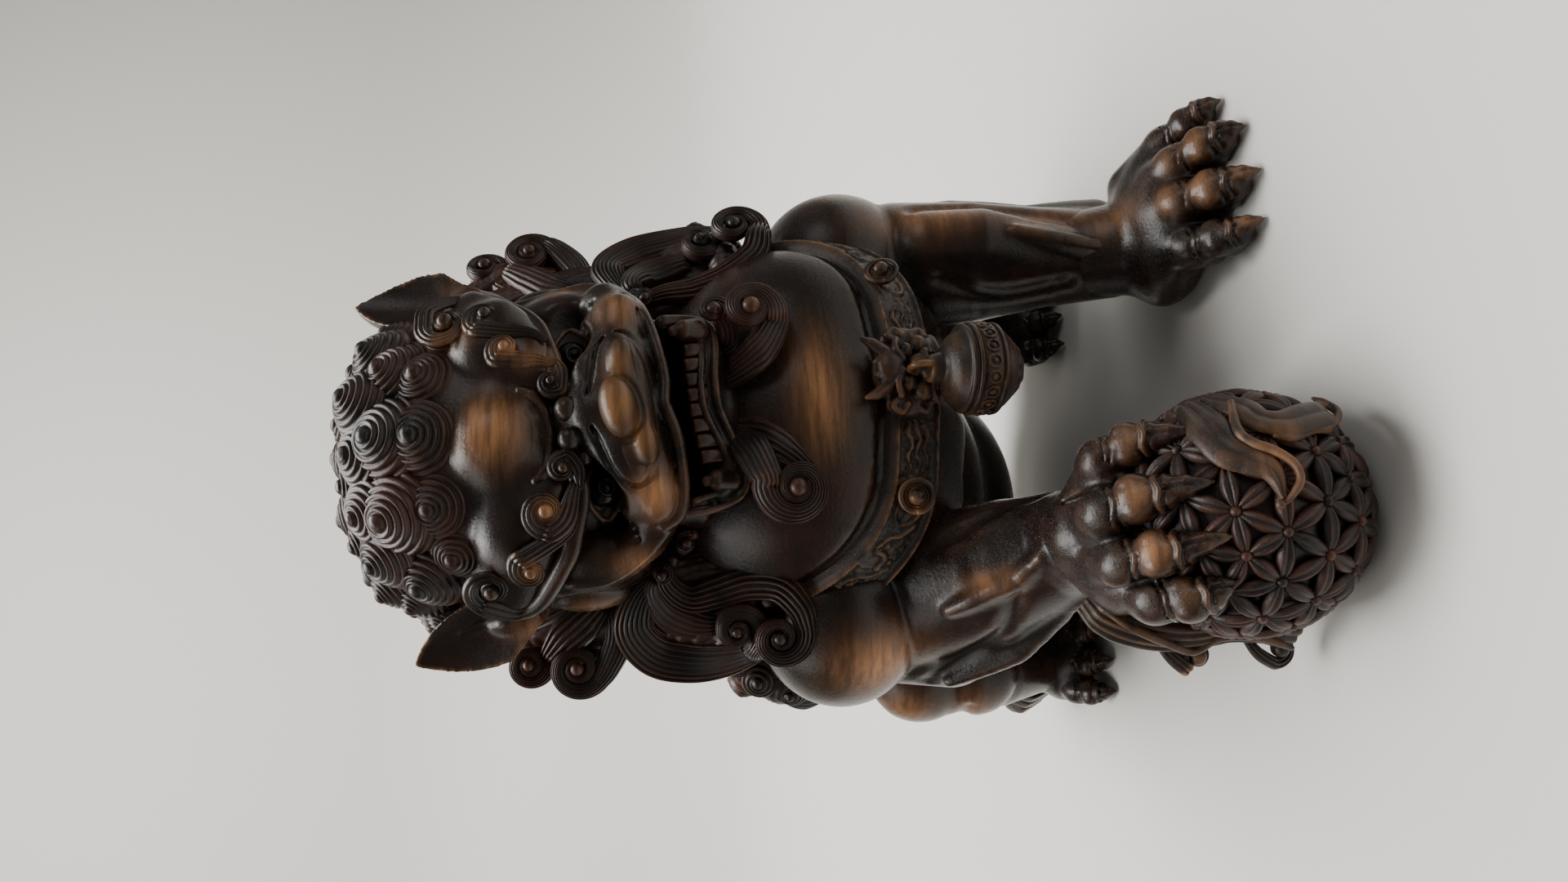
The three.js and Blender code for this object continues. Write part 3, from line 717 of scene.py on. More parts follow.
RIGHT_TOES = [
    ((-78, -134.5, 62.5), (-79.5, -143, 58), (-79, -147.5, 54), (-77, -152.5, 48.5), 8.2),
    ((-67.5, -133, 70), (-67.2, -144.5, 65.5), (-67, -149, 61), (-65.4, -157.5, 51), 8.4),
    ((-53.2, -133, 73), (-51.6, -143, 68.5), (-51.3, -148.5, 63.5), (-50.7, -157.5, 53.5), 8.8),
    ((-37.2, -129, 69.5), (-34.6, -137, 65), (-34, -142, 61), (-34.8, -151, 52.5), 8.0),
]
LEFT_TOES = [
    ((41.5, -107, 13.5), (40.3, -117.5, 10.5), (39.8, -123.5, 7.2), (41, -131, 1.6), 8.0),
    ((56, -110, 16.0), (56, -121, 11.5), (56, -126, 7.8), (56.7, -133.5, 1.6), 8.7),
    ((71, -108.5, 14.5), (73, -119, 10.5), (73.8, -124.5, 7.2), (73.8, -131, 1.6), 8.4),
    ((84, -100, 11.5), (86.5, -110.5, 9.0), (88, -116, 6.2), (89.5, -121.5, 1.6), 7.2),
]


def make_forepaw_right():
    c = Clay((-96, -166, 42), (-20, -88, 86), STEP * 0.7)
    c.tube([(-54, -94, 66, 16), (-54, -112, 66, 14.5)], 3)
    c.blob((-55, -120, 65), (25, 18, 10.5), 4, (-8, 0, 0))
    for k1, k2, cut, tip, size in RIGHT_TOES:
        c.tube([(-54 + (k1[0] + 54) * 0.5, -112, 66, 8), (*k1, size * 0.8)], 2.5)
        toe(c, k1, k2, cut, tip, size)
    for x, y0, x1 in ((-73.5, -124, -73), (-60.5, -122, -60), (-46, -122, -44.5)):
        c.strip([(x * 0.9 - 5, y0 + 6, 76), (x, y0 - 6, 72), (x1, y0 - 20, 64)], 0.7, 2.2, True)
    return c.cast()


def make_forepaw_left():
    c = Clay((20, -140, -2), (98, -52, 46), STEP * 0.75)
    c.tube([(57, -70, 32, 15.5), (55, -80, 16, 17)], 3)
    c.blob((58, -94, 13), (24, 21, 14), 4).blob((46, -84, 9), (14, 15, 11), 4)
    c.tube([(76, -84, 16, 9), (84, -98, 9, 8)], 4)
    for k1, k2, cut, tip, size in LEFT_TOES:
        c.tube([(58 + (k1[0] - 58) * 0.45, -90, 17, 9), (*k1, size * 0.8)], 3)
        toe(c, k1, k2, cut, tip, size, (1, 0.15, 0), (k1[0], k1[1] - 2, 7))
        c.tube([(k2[0], k2[1], 5, size * 0.72), (cut[0], cut[1] + 1, 4.4, size * 0.58)], 2)
    return c.above(0.0).cast()


def make_hind_leg(side):
    low, high = sorted((side * 30, side * 106))
    c = Clay((low, -14, 8), (high, 92, 112), STEP * 1.1)
    c.blob((side * 64, 42, 66), (29, 43, 39), 4)
    c.blob((side * 81, 15, 82), (19, 20, 20), 3).blob((side * 84, 10, 62), (15, 17, 17), 2.5)
    c.tube([(side * 84, 14, 66, 14), (side * 83, 24, 46, 12.5), (side * 80, 36, 26, 11)], 3)
    c.crease([(side * 66, 4, 96), (side * 76, 24, 102), (side * 66, 52, 104)], 1.5, 6)
    c.crease([(side * 98, 2, 68), (side * 99, 16, 66), (side * 94, 34, 58)], 1.4, 5)
    c.crease([(side * 92, 30, 60), (side * 94, 50, 52), (side * 86, 70, 46)], 1.4, 5)
    c.crease([(side * 88, 20, 92), (side * 93, 40, 80), (side * 88, 62, 70)], 1.4, 6)
    return c.cast()


def make_hind_paw(side):
    low, high = sorted((side * 44, side * 104))
    c = Clay((low, 2, -2), (high, 66, 40), STEP * 0.8)
    c.tube([(side * 80, 40, 28, 11), (side * 77, 42, 13, 12.5)], 3)
    c.blob((side * 74, 40, 10), (20, 19, 11), 4)
    for i, dx in enumerate((-17, -6, 6, 17)):
        size = 6.6 if i in (0, 3) else 7.0
        x, ahead = side * 74 + dx, 1.5 if i in (0, 3) else 0.0
        toe(c, (x * 0.995, 29 + ahead, 9.5), (x + dx * 0.08, 21 + ahead, 7.6),
            (x + dx * 0.1, 17 + ahead, 5.2), (x + dx * 0.13, 11.5 + ahead, 1.2), size, (1, 0, 0),
            (x, 28 + ahead, 5.5))
    s = side
    tufts = [ribbon([(s * (84 + 3 * k), 36 + 5 * k, 40 - 3 * k), (s * (90 + 2 * k), 46 + 5 * k, 26),
                     (s * (86 + 2 * k), 52 + 3 * k, 8 + 2 * k)], [(s * 0.8, 0.5, 0.2)] * 2, (1.5, 4.5, 1.0),
                    2.6, 4, 0.8, 32) for k in range(3)]
    return merge([c.above(0.0).cast()] + tufts)


for name, shape, slot in (
    ("torso", make_torso(), "skin"),
    ("collar_band", make_collar(), "relief"),
    ("foreleg_right", make_foreleg_right(), "skin"),
    ("foreleg_left", make_foreleg_left(), "skin"),
    ("forepaw_right", make_forepaw_right(), "skin"),
    ("forepaw_left", make_forepaw_left(), "skin"),
    ("hind_leg_right", make_hind_leg(-1), "skin"),
    ("hind_leg_left", make_hind_leg(1), "skin"),
    ("hind_paw_right", make_hind_paw(-1), "skin"),
    ("hind_paw_left", make_hind_paw(1), "skin"),
):
    piece("cast_" + name, shape, [name], slot, edge=1.0 if slot == "relief" else 0.22)


# ---------- head (points in head coordinates: x to the viewer's right, -y out of the face, z up) ----------
LEDGE_R = [(-14.1, -56, 4.6), (-12, -57, 2), (-18, -58, 0), (-22.7, -58, -0.5), (-28.6, -56, 0.8),
           (-33.6, -54, 2.4), (-38.4, -51, 3.8), (-42.9, -46, 6.4), (-46.6, -41, 8.9), (-49.8, -35, 11.3),
           (-51.6, -30, 14.6), (-51.8, -27, 19.4)]
LEDGE_L = [(11.9, -55, 4.9), (14.4, -57, 1.7), (19.6, -56, 2.2), (25.4, -53, 2.9), (31.7, -49, 3.9),
           (36.7, -45, 6.5), (41.1, -40, 10.1), (45.7, -34, 13.7), (49.2, -28, 18.6)]
HEAD_STEP = grain(0.8)


def helmet(box):
    """The smooth forehead that overhangs the eyes, cut along the brow line."""
    c = Clay(*box, HEAD_STEP)
    c.blob((0, -20, 12), (50, 34.5, 27), 4)
    for side in (-1, 1):
        c.blob((side * 27, -35, 16), (19, 17.5, 17), 5)
        c.blob((side * 20, -45, 9), (13, 12.5, 10), 4)
        c.blob((side * 40, -25, 19), (13, 13, 14), 5)
    c.blob((-2.5, -41, 20.5), (15.5, 17, 16.5), 7)
    c.blob((-16.5, -62, 20), (4.5, 5, 11), 5, (0, 12, 0), True)
    c.blob((12.5, -60, 20), (4.0, 5, 11), 5, (0, -12, 0), True)
    edge = np.array([(-70, 20), (-53, 20)] + [(p[0], p[2]) for p in LEDGE_R[::-1][1:-1]]
                    + [(-9, 4.5), (-4, 4.0), (7, 5.5)] + [(p[0], p[2]) for p in LEDGE_L[1:]] + [(60, 24)])
    line = np.interp(c.x, edge[:, 0], edge[:, 1])
    c.keep(0.9 * (line - c.z), 2.0)
    return c


def make_head():
    box = ((-64, -84, -44), (64, 52, 72))
    c = Clay(*box, HEAD_STEP)
    c.blob((0, -6, 14), (53, 46, 47)).tube([(0, -6, 4, 38), (0, 6, -30, 30)], 6)
    c.blob((0, -26, -6), (43, 23, 21), 4)
    for side in (-1, 1):
        c.blob((side * 38, -22, -8), (12, 24, 20), 4)
        c.blob((side * 50, -18, -6), (4.5, 8, 13), 2)
    # cheeks, from under the brow to the corner of the mouth
    c.tube([(-45, -30, 5, 5), (-44, -36, -6, 5.5), (-41.5, -42, -13, 6), (-37, -48, -19, 6.5),
            (-31, -54, -22.5, 6)], 4)
    c.tube([(42, -22, 8, 5), (44, -27, -5, 5.5), (44.5, -31, -14, 6), (41, -39, -20, 6), (37, -46, -19, 6)],
           4)
    c.blob((-32, -55, -6), (9, 8, 9), 3, carve=True)
    c.blob((32, -50, -4), (9, 8, 9), 3, carve=True)
    # muzzle
    c.tube([(-30, -52, -21, 7.2), (-18, -58, -19, 9.0), (0, -60, -15.5, 10.5), (18, -58.5, -16.5, 9.0),
            (30, -54, -18, 8), (39, -46, -17, 7)], 4)
    c.blob((0, -50, -15), (28, 17, 11), 4).blob((0, -62, -13.5), (25, 9.5, 10.5), 4)
    c.blob((-24.5, -59.0, -20.6), (10.5, 7.5, 7.6), 3.5, (0, -12, 25))
    c.blob((27.5, -55.0, -18.5), (11, 8, 7.6), 3.5, (0, 8, -25))
    c.tube([(-18, -61, -22.5, 5), (0, -63, -21.6, 5.4), (18, -60.5, -22, 5)], 2.5)
    c.tube([(-27, -55, -15, 5), (-15, -59, -8.5, 6), (0, -60, -6, 6.5), (15, -59, -6, 6),
            (29, -52, -11.5, 5)], 3)
    c.tube([(0, -44, 6, 8), (0, -51, 0, 8), (0, -59, -6, 9)], 4)
    # eye sockets, then the roof of the mouth
    c.blob((-21, -55, -5.5), (12, 8.5, 8.0), 2.5, carve=True)
    c.blob((21.2, -54, -2.5), (11, 8.5, 7.5), 2.5, carve=True)
    c.blob((0, -46, -40), (27, 26, 13.5), 3, carve=True)
    c.tube([(0, -10, -16, 22), (0, -10, -34, 20)], 4)
    for side, ex, ez in ((-1, -20.8, -7.8), (1, 21.2, -3.7)):
        # lids and the wrinkles that run from the eye to the muzzle
        c.strip([(ex - 9, -46, ez + 1), (ex - 4, -50.5, ez + 5.4), (ex + 3, -51.5, ez + 5.6),
                 (ex + 9, -49, ez + 1)], 1.1, 1.0)
        c.strip([(ex - 9, -47, ez - 1), (ex - 3, -51.5, ez - 5.4), (ex + 4, -52, ez - 5.4),
                 (ex + 9, -50, ez - 1)], 1.0, 1.0)
        for j in range(4):
            o = 2.4 * j
            c.strip([(ex + side * (10 + o), -50, ez + 6 - o), (ex + side * (9 + o), -53, ez - 4 - 0.7 * o),
                     (ex + side * (3 + 0.8 * o), -57, ez - 10 - 0.6 * o)], 0.7, 1.4, True)
    # rims of the cheek and of the lip
    c.strip([(-46.6, -36, 3), (-47.6, -40, -5.6), (-45.5, -46, -12.4), (-41.5, -52, -18.4),
             (-36.2, -57, -23.9), (-32.9, -61, -27.2)], 1.3, 1.6)
    c.strip([(45.8, -28, 9.4), (48.2, -32, -4.4), (48.8, -36, -13), (44.5, -44, -21.9), (36, -54, -24.5)],
            1.3, 1.6)
    lip = [(-35.5, -59, -22), (-32.9, -62, -26.8), (-26.1, -64.5, -28.5), (-17.3, -67, -28.4),
           (-10.2, -69, -27.6), (-2, -69.5, -25.6), (0, -69.5, -25.2), (7.1, -68.5, -26.6), (16, -67, -26.4),
           (27, -62.5, -25.8), (34.8, -57, -24.7), (41.4, -49, -21.5)]
    c.strip(lip, 1.7, 1.4, False, 80)
    c.strip([(p[0], p[1] - 1.6, p[2] + 2.4) for p in lip], 0.6, 0.9, True, 80)
    c.strip([(0, -72, -23), (0, -73, -19), (1, -72, -16)], 1.0, 1.2, True, 16)
    # line round the nostrils
    for side in (-1, 1):
        c.strip([(side * 3, -74, -22), (side * 12, -72, -22), (side * 20, -68, -20), (side * 23.5, -65, -15),
                 (side * 20, -65, -9), (side * 12, -66, -5.5), (side * 4, -66, -3.5)], 0.8, 1.2, True)
    # the smooth forehead, joined on softly
    top = helmet(box)
    h = np.clip(0.5 + 0.5 * (c.f - top.f) / 1.6, 0, 1)
    c.f = c.f * (1 - h) + top.f * h - 1.6 * h * (1 - h)
    return c.cast()


def make_brow(ledge, side):
    low = np.min(ledge, 0) - (8, 8, 6)
    high = np.max(ledge, 0) + (8, 14, 26)
    c = Clay(low, high, grain(0.55))
    c.strip([(p[0], p[1] + 1.6, p[2] + 1.4) for p in ledge[1:]], 2.9, 0.8, False, 70)
    c.strip([(p[0], p[1] - 0.4, p[2] + 0.4) for p in ledge[1:]], 1.5, 1.2, False, 70)
    c.strip([(p[0], p[1] - 2.4, p[2] + 4.2) for p in ledge[2:]], 0.55, 0.8, True, 70)
    parts = [c.cast()]
    if side < 0:
        curls = [
            ((-26.4, -57.6, 11.7), [(-17.5, -58.5, 1.5), (-22.5, -59.5, 3.5), (-29.5, -58.2, 6.5),
                                    (-32.5, -56.5, 10.5)], -1, 3.4, (-0.3, -1, 0.25), 4),
            ((-42.0, -48.0, 17.0), [(-27.5, -57.5, 2.5), (-33.0, -56.0, 6.2), (-36.3, -53.5, 13),
                                    (-39.0, -51.5, 19.5)], 1, 3.2, (-0.55, -0.85, 0.2), 4),
            ((-44.5, -35.5, 27.5), [(-51.2, -30.5, 14.6), (-52.6, -28.5, 21), (-49.8, -30.5, 29)], -1, 3.3,
             (-0.7, -0.75, 0.2), 3),
            ((-15.2, -59.6, 5.6), [(-22, -59.6, 1.4), (-16, -60.4, 1.4), (-11.8, -60.2, 3.6)], 1, 2.6,
             (0, -1, 0.1), 3),
        ]
    else:
        curls = [
            ((24.0, -54.6, 17.2), [(17.5, -58, 3.8), (19.2, -57.5, 9), (19.8, -56.8, 14),
                                   (21.0, -55.6, 19.5)], -1, 3.2, (0.25, -1, 0.25), 4),
            ((36.6, -46.6, 20.6), [(25.2, -56.5, 4.6), (28.6, -54.5, 9), (30.4, -52.5, 16.0),
                                   (32.4, -49.6, 23.4)], -1, 3.0, (0.5, -0.85, 0.2), 4),
            ((37.0, -40.5, 31.6), [(47.6, -30.5, 20), (48.0, -31, 28), (44.5, -34, 36.5)], 1, 3.2,
             (0.45, -0.8, 0.35), 4),
            ((11.6, -58.4, 5.6), [(19.0, -57.8, 3.4), (15, -58.6, 1.8), (9.5, -59.2, 2.8)], -1, 2.5,
             (0.05, -1, 0.1), 3),
        ]
    for centre, stem, turn, half, normal, strands in curls:
        parts.append(lock(stem, centre, normal, turn, half, 1.7, 1.35, strands, 2.0, 0.6, 0.3, 0.17, 0.7))
    return merge(parts)


def make_boss():
    c = helmet(((-30, -76, -2), (26, -34, 46)))
    x, y, z = c.x, c.y, c.z
    away = np.sqrt(((x + 2.5) / 15.0) ** 2 + ((z - 21) / 15.5) ** 2) + 0 * y
    c.f = (c.f - 0.12 + 0.55 * smoothstep(away, 0.5, 1.0)).astype(np.float32)
    c.keep(9 * (away - 1.3), 0.5)
    c.keep(y + 44.0, 0.5)
    c.crease([(-16.9, -55.2, 13.4), (-15.2, -56.4, 11.2), (-11.5, -58.0, 8.8), (-4.5, -59.0, 6.6),
              (3.5, -58.4, 7.4), (9.5, -55.8, 11.0), (11.6, -53.8, 14.4)], 2.3, 1.6, -0.5, True, 60)
    c.crease([(-16, -56, 19), (-12, -58, 13.6), (-4.5, -60, 10.6), (4.2, -59.5, 11.6), (9.0, -56, 17)], 1.0,
             2.4, 0.0, False, 50)
    return c.cast()


def make_eye(x, z):
    ring = np.array([(x + 2.5 * math.cos(t), -53.6, z + 2.5 * math.sin(t), 0.62)
                     for t in np.linspace(0, 2 * math.pi, 25)])
    c = Clay((x - 8, -58, z - 8), (x + 8, -40, z + 8), grain(0.35))
    c.blob((x, -48.6, z), (5.4, 5.2, 5.4))
    c.tube(ring, 0.5)
    c.blob((x, -54, z), (1.25, 1.2, 1.25), 0.5)
    return c.cast()


def make_nose():
    c = Clay((-30, -86, -30), (30, -50, 8), grain(0.45))
    c.blob((0.5, -64, -15.0), (23.5, 9.0, 8.8), 4)
    c.blob((-10.4, -68.4, -17.2), (8.6, 5.6, 4.6), 1.2, (0, -8, 14))
    c.blob((12.2, -67.6, -14.0), (8.6, 5.6, 4.6), 1.2, (0, 8, -14))
    oval = [(-0.8 + 10.4 * math.cos(q), -72.8 + 1.2 * abs(math.cos(q)) - 1.2 * math.sin(q), -10.6
             + 6.2 * math.sin(q) + 0.10 * 10.4 * math.cos(q)) for q in np.linspace(0, 2 * math.pi, 17)]
    c.crease(oval, 1.3, 1.0, 0.3, count=60)
    c.blob((-0.8, -71.0, -10.8), (9.4, 5.9, 5.5), 0.5, (-14, -6, 0))
    for side in (-1, 1):
        o = 0.0 if side < 0 else 3.0
        c.blob((side * 12.5, -74.0, -22.0 + o), (3.6, 3.0, 1.7), 1.0, carve=True)
        c.crease([(side * 7, -74, -22 + o), (side * 14, -73, -22.6 + o), (side * 20.5, -69, -20 + o),
                  (side * 22.5, -66, -14.5 + o), (side * 18.5, -66, -9.0 + o), (side * 11, -68, -6 + o)], 1.0,
                 1.0, 0.25, count=60)
    c.keep(c.y + 60.0, 1.0)
    return c.cast()


def make_bridge_beads():
    return merge([bead((-6.6, -61.0, 2.6), 3.7), bead((2.4, -61.0, 2.2), 3.9),
                  bead((-12.2, -58.8, -1.4), 2.4), bead((9.6, -58.4, 0.0), 2.4)])


def make_jaw():
    c = Clay((-42, -70, -62), (40, 4, -20), grain(0.65))
    c.blob((0, -40, -48), (25, 20, 8), 3).blob((0, -20, -44), (27, 20, 13), 5)
    c.tube([(-27, -54, -44, 5.5), (-18, -57, -46.5, 4.6), (0, -58, -43, 4.4), (16, -57, -45, 4.6),
            (25, -53, -43, 5.0)], 2.5)
    for side, z in ((-1, -30), (1, -33)):
        c.tube([(side * 29.5, -53, z, 2.6), (side * 29, -52, -40, 3.2), (side * 27, -52, -47, 4)], 2.5)
        c.tube([(side * 30, -46, z + 2, 3.2), (side * 29, -40, -38, 6), (side * 26, -34, -44, 8)], 4)
    rim = [(-32.5, -57, -29), (-32.2, -57.5, -37.6), (-29.0, -58.5, -47.6), (-21.6, -60.5, -50.0),
           (-12.4, -62, -47.0), (-2.3, -63, -43.9), (7.5, -63, -44.0), (17.3, -61.5, -46.0),
           (25.3, -58, -46.9), (29.2, -55, -42.5), (30.2, -53.5, -33.7)]
    c.strip(rim, 1.25, 1.0, False, 90)
    c.strip([(p[0] * 0.955, p[1] - 1.0, p[2] + 2.6) for p in rim[1:-1]], 0.8, 0.9, True, 90)
    c.strip([(p[0] * 0.9, p[1] + 0.6, p[2] + 4.6) for p in rim[1:-1]], 1.2, 0.9, False, 90)
    c.blob((0, -38, -36), (19, 14, 5.2), 2.0, carve=True)
    c.tube([(-20, -53, -42, 3.2), (0, -55.5, -39.4, 3.4), (20, -53, -41, 3.2)], 2)
    for k in range(4):  # wrinkles of the chin
        c.strip([(-17 + k, -52 + 4 * k, -55), (0, -56 + 4 * k, -52.5), (17 - k, -52 + 4 * k, -54)], 0.7, 1.6,
                True)
    return c.cast()


def make_teeth():
    parts = []
    for x in np.linspace(-16.0, 18.0, 8):
        bow = 1 - ((x - 1) / 18) ** 2
        c = Clay((x - 4, -65, -47), (x + 4, -50, -32), grain(0.4))
        c.blob((x, -58.4 - 1.4 * bow, -39.6 + 1.6 * bow), (4.0, 2.7, 5.4), 0.5)
        c.keep(np.abs(c.x - x) - 2.15, 0.8)
        c.keep(c.z + 36.6 - 1.6 * bow, 0.8)
        parts.append(c.mesh())
    return merge(parts)


def make_fang(x, z):
    c = Clay((x - 6, -66, z - 9), (x + 6, -50, z + 8), grain(0.4))
    c.tube([(x, -57.0, z - 5, 4.4), (x, -58.4, z - 1, 3.6), (x, -58.8, z + 2.6, 1.8)], 1.0)
    return c.mesh()


def make_tongue():
    c = Clay((-16, -62, -48), (18, -10, -30), grain(0.7))
    c.tube([(1, -18, -38, 9), (1, -36, -41, 8.5), (1, -50, -43, 6)], 3)
    c.strip([(1, -20, -29.5), (1, -38, -33), (1, -52, -37.5)], 0.8, 1.5, True)
    c.keep(np.abs(c.z + 41) - 4.5, 3.0)
    return c.cast()


def make_ear(side):
    """A cupped, pointed leaf on a fleshy root."""
    low, high = sorted((side * 36, side * 76))
    c = Clay((low, -36, 4), (high, 26, 66), grain(0.6))
    root = np.array([-51.0, -21.5, 13.5]) if side < 0 else np.array([50.5, -18.5, 19.0])
    tip = np.array([-62.0, 0.5, 50.5]) if side < 0 else np.array([59.5, 3.5, 57.0])
    along = unit(tip - root)
    face = np.array([side * 0.30, -0.95, 0.0])
    face = unit(face - along * np.dot(face, along))
    b = np.cross(along, face)
    x, y, z = c.x, c.y, c.z
    p = (root + tip) / 2
    u, v, w = ((x - p[0]) * q[0] + (y - p[1]) * q[1] + (z - p[2]) * q[2] for q in (along, b, face))
    length = np.linalg.norm(tip - root) / 2
    half = 11.5 * np.clip(1 - np.clip((u + 7) / (length + 7), 0, 1) ** 2, 0, 1) ** 0.85
    half = half * np.clip(0.42 + (u + length) / 24, 0.3, 1)
    cup = -3.5 + v**2 / 26 + u**2 / 160
    leaf = np.maximum(np.maximum(np.abs(v) - half, np.abs(w - cup) - (1.4 + 0.10 * half)), np.abs(u) - length)
    c.f = leaf.astype(np.float32)
    c.blob((side * 49, -12, 17), (8.5, 7.5, 10), 4)
    c.tube([(side * 46, -14, 12, 6), (side * 51, -15, 22, 4.5)], 4)
    c.crease([(side * 50, -20, 16), (side * 53, -16, 26), (side * 56, -10, 36)], 1.0, 2.0)
    return c.cast()


CROWN_MIDDLE, CROWN_RADII = np.array([0.0, -4.0, 16.0]), np.array([56.0, 49.0, 50.0])
CROWN_CURLS = [  # where the top of each curl stands, its radius
    ((-35.9, -37.4, 39.1), 10.5), ((-20.8, -44.7, 45.1), 11.5), ((3, -48.3, 48.3), 13.0),
    ((23.6, -44.1, 44.3), 11.5), ((37.2, -40, 33.9), 9.5),
    ((-42.6, -25.1, 50), 12.5), ((-21.3, -37.4, 59.7), 14.0), ((5.2, -40.7, 60.9), 14.0),
    ((28.6, -35.7, 54.8), 13.0),
    ((-33.1, -22.4, 62.7), 12.0), ((-17.6, -28.5, 66.6), 12.5), ((2.4, -30.5, 67.2), 13.0),
    ((21, -30, 66.6), 12.5), ((37.8, -25.6, 58.4), 12.0),
    ((-46.5, -9.5, 51.8), 10.5), ((-53.5, -2, 43.0), 9.0), ((-40.8, -5.3, 60.2), 11.5),
    ((46.5, -14, 50.5), 11.0), ((50.5, -2, 44), 11),
    ((-24, -8, 67.0), 12.5), ((-4, -10, 69.0), 13), ((17, -10, 68.5), 13), ((36, -6, 62), 12.5),
    ((-33, 10, 63), 12.5), ((-12, 10, 70), 13), ((10, 11, 70), 13), ((31, 12, 62), 12.5), ((-46, 8, 50), 11),
    ((46, 12, 49), 11.5),
]


def head_curls(lift, spread, count, radius):
    """A row of curls round the back of the head, lift degrees above its equator."""
    parts = []
    for k, a in enumerate(np.radians(np.linspace(-spread, spread, count))):
        e = math.radians(lift)
        out = np.array([math.sin(a) * math.cos(e), math.cos(a) * math.cos(e),
                        math.sin(e)]) * CROWN_RADII * 0.97
        parts.append(snail(CROWN_MIDDLE + out - unit(out) * 1.5, unit(out / CROWN_RADII**2), radius,
                           0.66 * radius, 6.0, 1 if k % 2 else -1, k * 0.37, 0.17, 5.0, 40, 32))
    return parts


def make_crown():
    parts = []
    turns = np.random.default_rng(3)
    for top, radius in CROWN_CURLS:
        top = np.array(top)
        out = top - CROWN_MIDDLE
        axis = unit(out / CROWN_RADII**2)
        tall = 0.78 * radius
        parts.append(snail(top - axis * tall, axis, radius, tall * 0.86, 7.0, 1 if turns.random() < 0.5 else
                           -1, turns.random(), 0.16, 5.0, 46, 50))
    for lift, spread, count in ((52, 62, 5), (30, 82, 6)):
        parts += head_curls(lift, spread, count, 12.0)
    c = Clay((-60, -48, 22), (60, 40, 70), HEAD_STEP * 1.4)
    c.blob((0, -5, 15), (51.5, 45.5, 48.5))
    hair_line = 40 - np.clip((c.y + 40) * 0.85, 0, 34)  # the hair comes lower at the sides and the back
    c.keep(0.8 * (hair_line - c.z), 1.5)
    parts.append(c.cast())
    return merge(parts)


def make_beard(side):
    if side < 0:
        return merge([
            lock([(-8, -50, -48), (-10, -58, -50), (-17, -69, -50), (-27, -75, -51)], (-31, -76.5, -59.5),
                 (-0.2, -1, 0.25), 1, 4.6, 3.4, 1.6, 7, 3.2, 0.9, 0.6, 0.13, 0.3, 1.3),
            ribbon([(-8, -50, -50), (-13, -66, -55), (-20, -74, -60), (-29, -76.5, -67)], [(-0.2, -1, 0.25)]
                   * 2, (5, 6.0, 4.5, 1.5), 3.0, 5, 0.9)])
    return merge([
        lock([(8, -52, -48), (10, -61, -52), (14, -68.0, -58), (21, -69.5, -63.5)], (26.5, -68.5, -57.0),
             (0.25, -1, 0.15), 1, 4.2, 3.2, 1.4, 7, 3.0, 0.9, 0.6, 0.13, 0.3, 1.4),
        lock([(17, -50, -50), (20, -58, -52), (26, -61.5, -51)], (29, -61, -47.5), (0.3, -1, 0.15), 1, 3.4,
             2.4, 1.1, 4, 2, 0.7, 0.5)])


for name, shape, slot, edge in (
    ("head", make_head(), "skin", 0.10),
    ("brow_right", make_brow(LEDGE_R, -1), "skin", 0.14),
    ("brow_left", make_brow(LEDGE_L, 1), "skin", 0.12),
    ("forehead_boss", make_boss(), "skin", 0.15),
    ("eye_right", make_eye(-20.8, -7.8), "eye", 0.2),
    ("eye_left", make_eye(21.2, -3.7), "eye", 0.2),
    ("nose", make_nose(), "gilt", 0.3),
    ("lower_jaw", make_jaw(), "skin", 0.22),
    ("teeth_lower", make_teeth(), "ivory_brown", 0.8),
    ("fang_lower_right", make_fang(-23.4, -40), "ivory_brown", 0.8),
    ("fang_lower_left", make_fang(24.8, -37), "ivory_brown", 0.8),
    ("tongue", make_tongue(), "skin", 0.3),
    ("ear_right", make_ear(-1), "skin", 0.5),
    ("ear_left", make_ear(1), "skin", 0.5),
    ("curl_cap", make_crown(), "hair", 0.6),
    ("beard_lock_right", make_beard(-1), "hair", 0.6),
    ("beard_lock_left", make_beard(1), "hair", 0.6),
):
    piece("cast_" + name, shape, [name], slot, edge=edge, place=on_head)
piece("cast_nose_beads", make_bridge_beads(), ["head"], "skin", rubs=0.0, edge=0.08, place=on_head)


# ---------- mane ----------
def surface_at(clay, origin, direction, far=90.0):
    """The point and outward normal where a ray from inside leaves a sculpted form."""
    d = unit(direction)
    t = np.arange(1.0, far, 0.5)
    p = np.array(origin) + t[:, None] * d
    ijk = np.round((p - clay.low) / clay.step).astype(int)
    ijk = np.clip(ijk, 1, np.array(clay.f.shape) - 2)
    outside = clay.f[ijk[:, 0], ijk[:, 1], ijk[:, 2]] > 0
    k = int(np.argmax(outside)) if outside.any() else len(t) - 1
    i, j, l = ijk[k]
    g = np.array([clay.f[i + 1, j, l] - clay.f[i - 1, j, l], clay.f[i, j + 1, l] - clay.f[i, j - 1, l],
                  clay.f[i, j, l + 1] - clay.f[i, j, l - 1]])
    return p[k], unit(g)


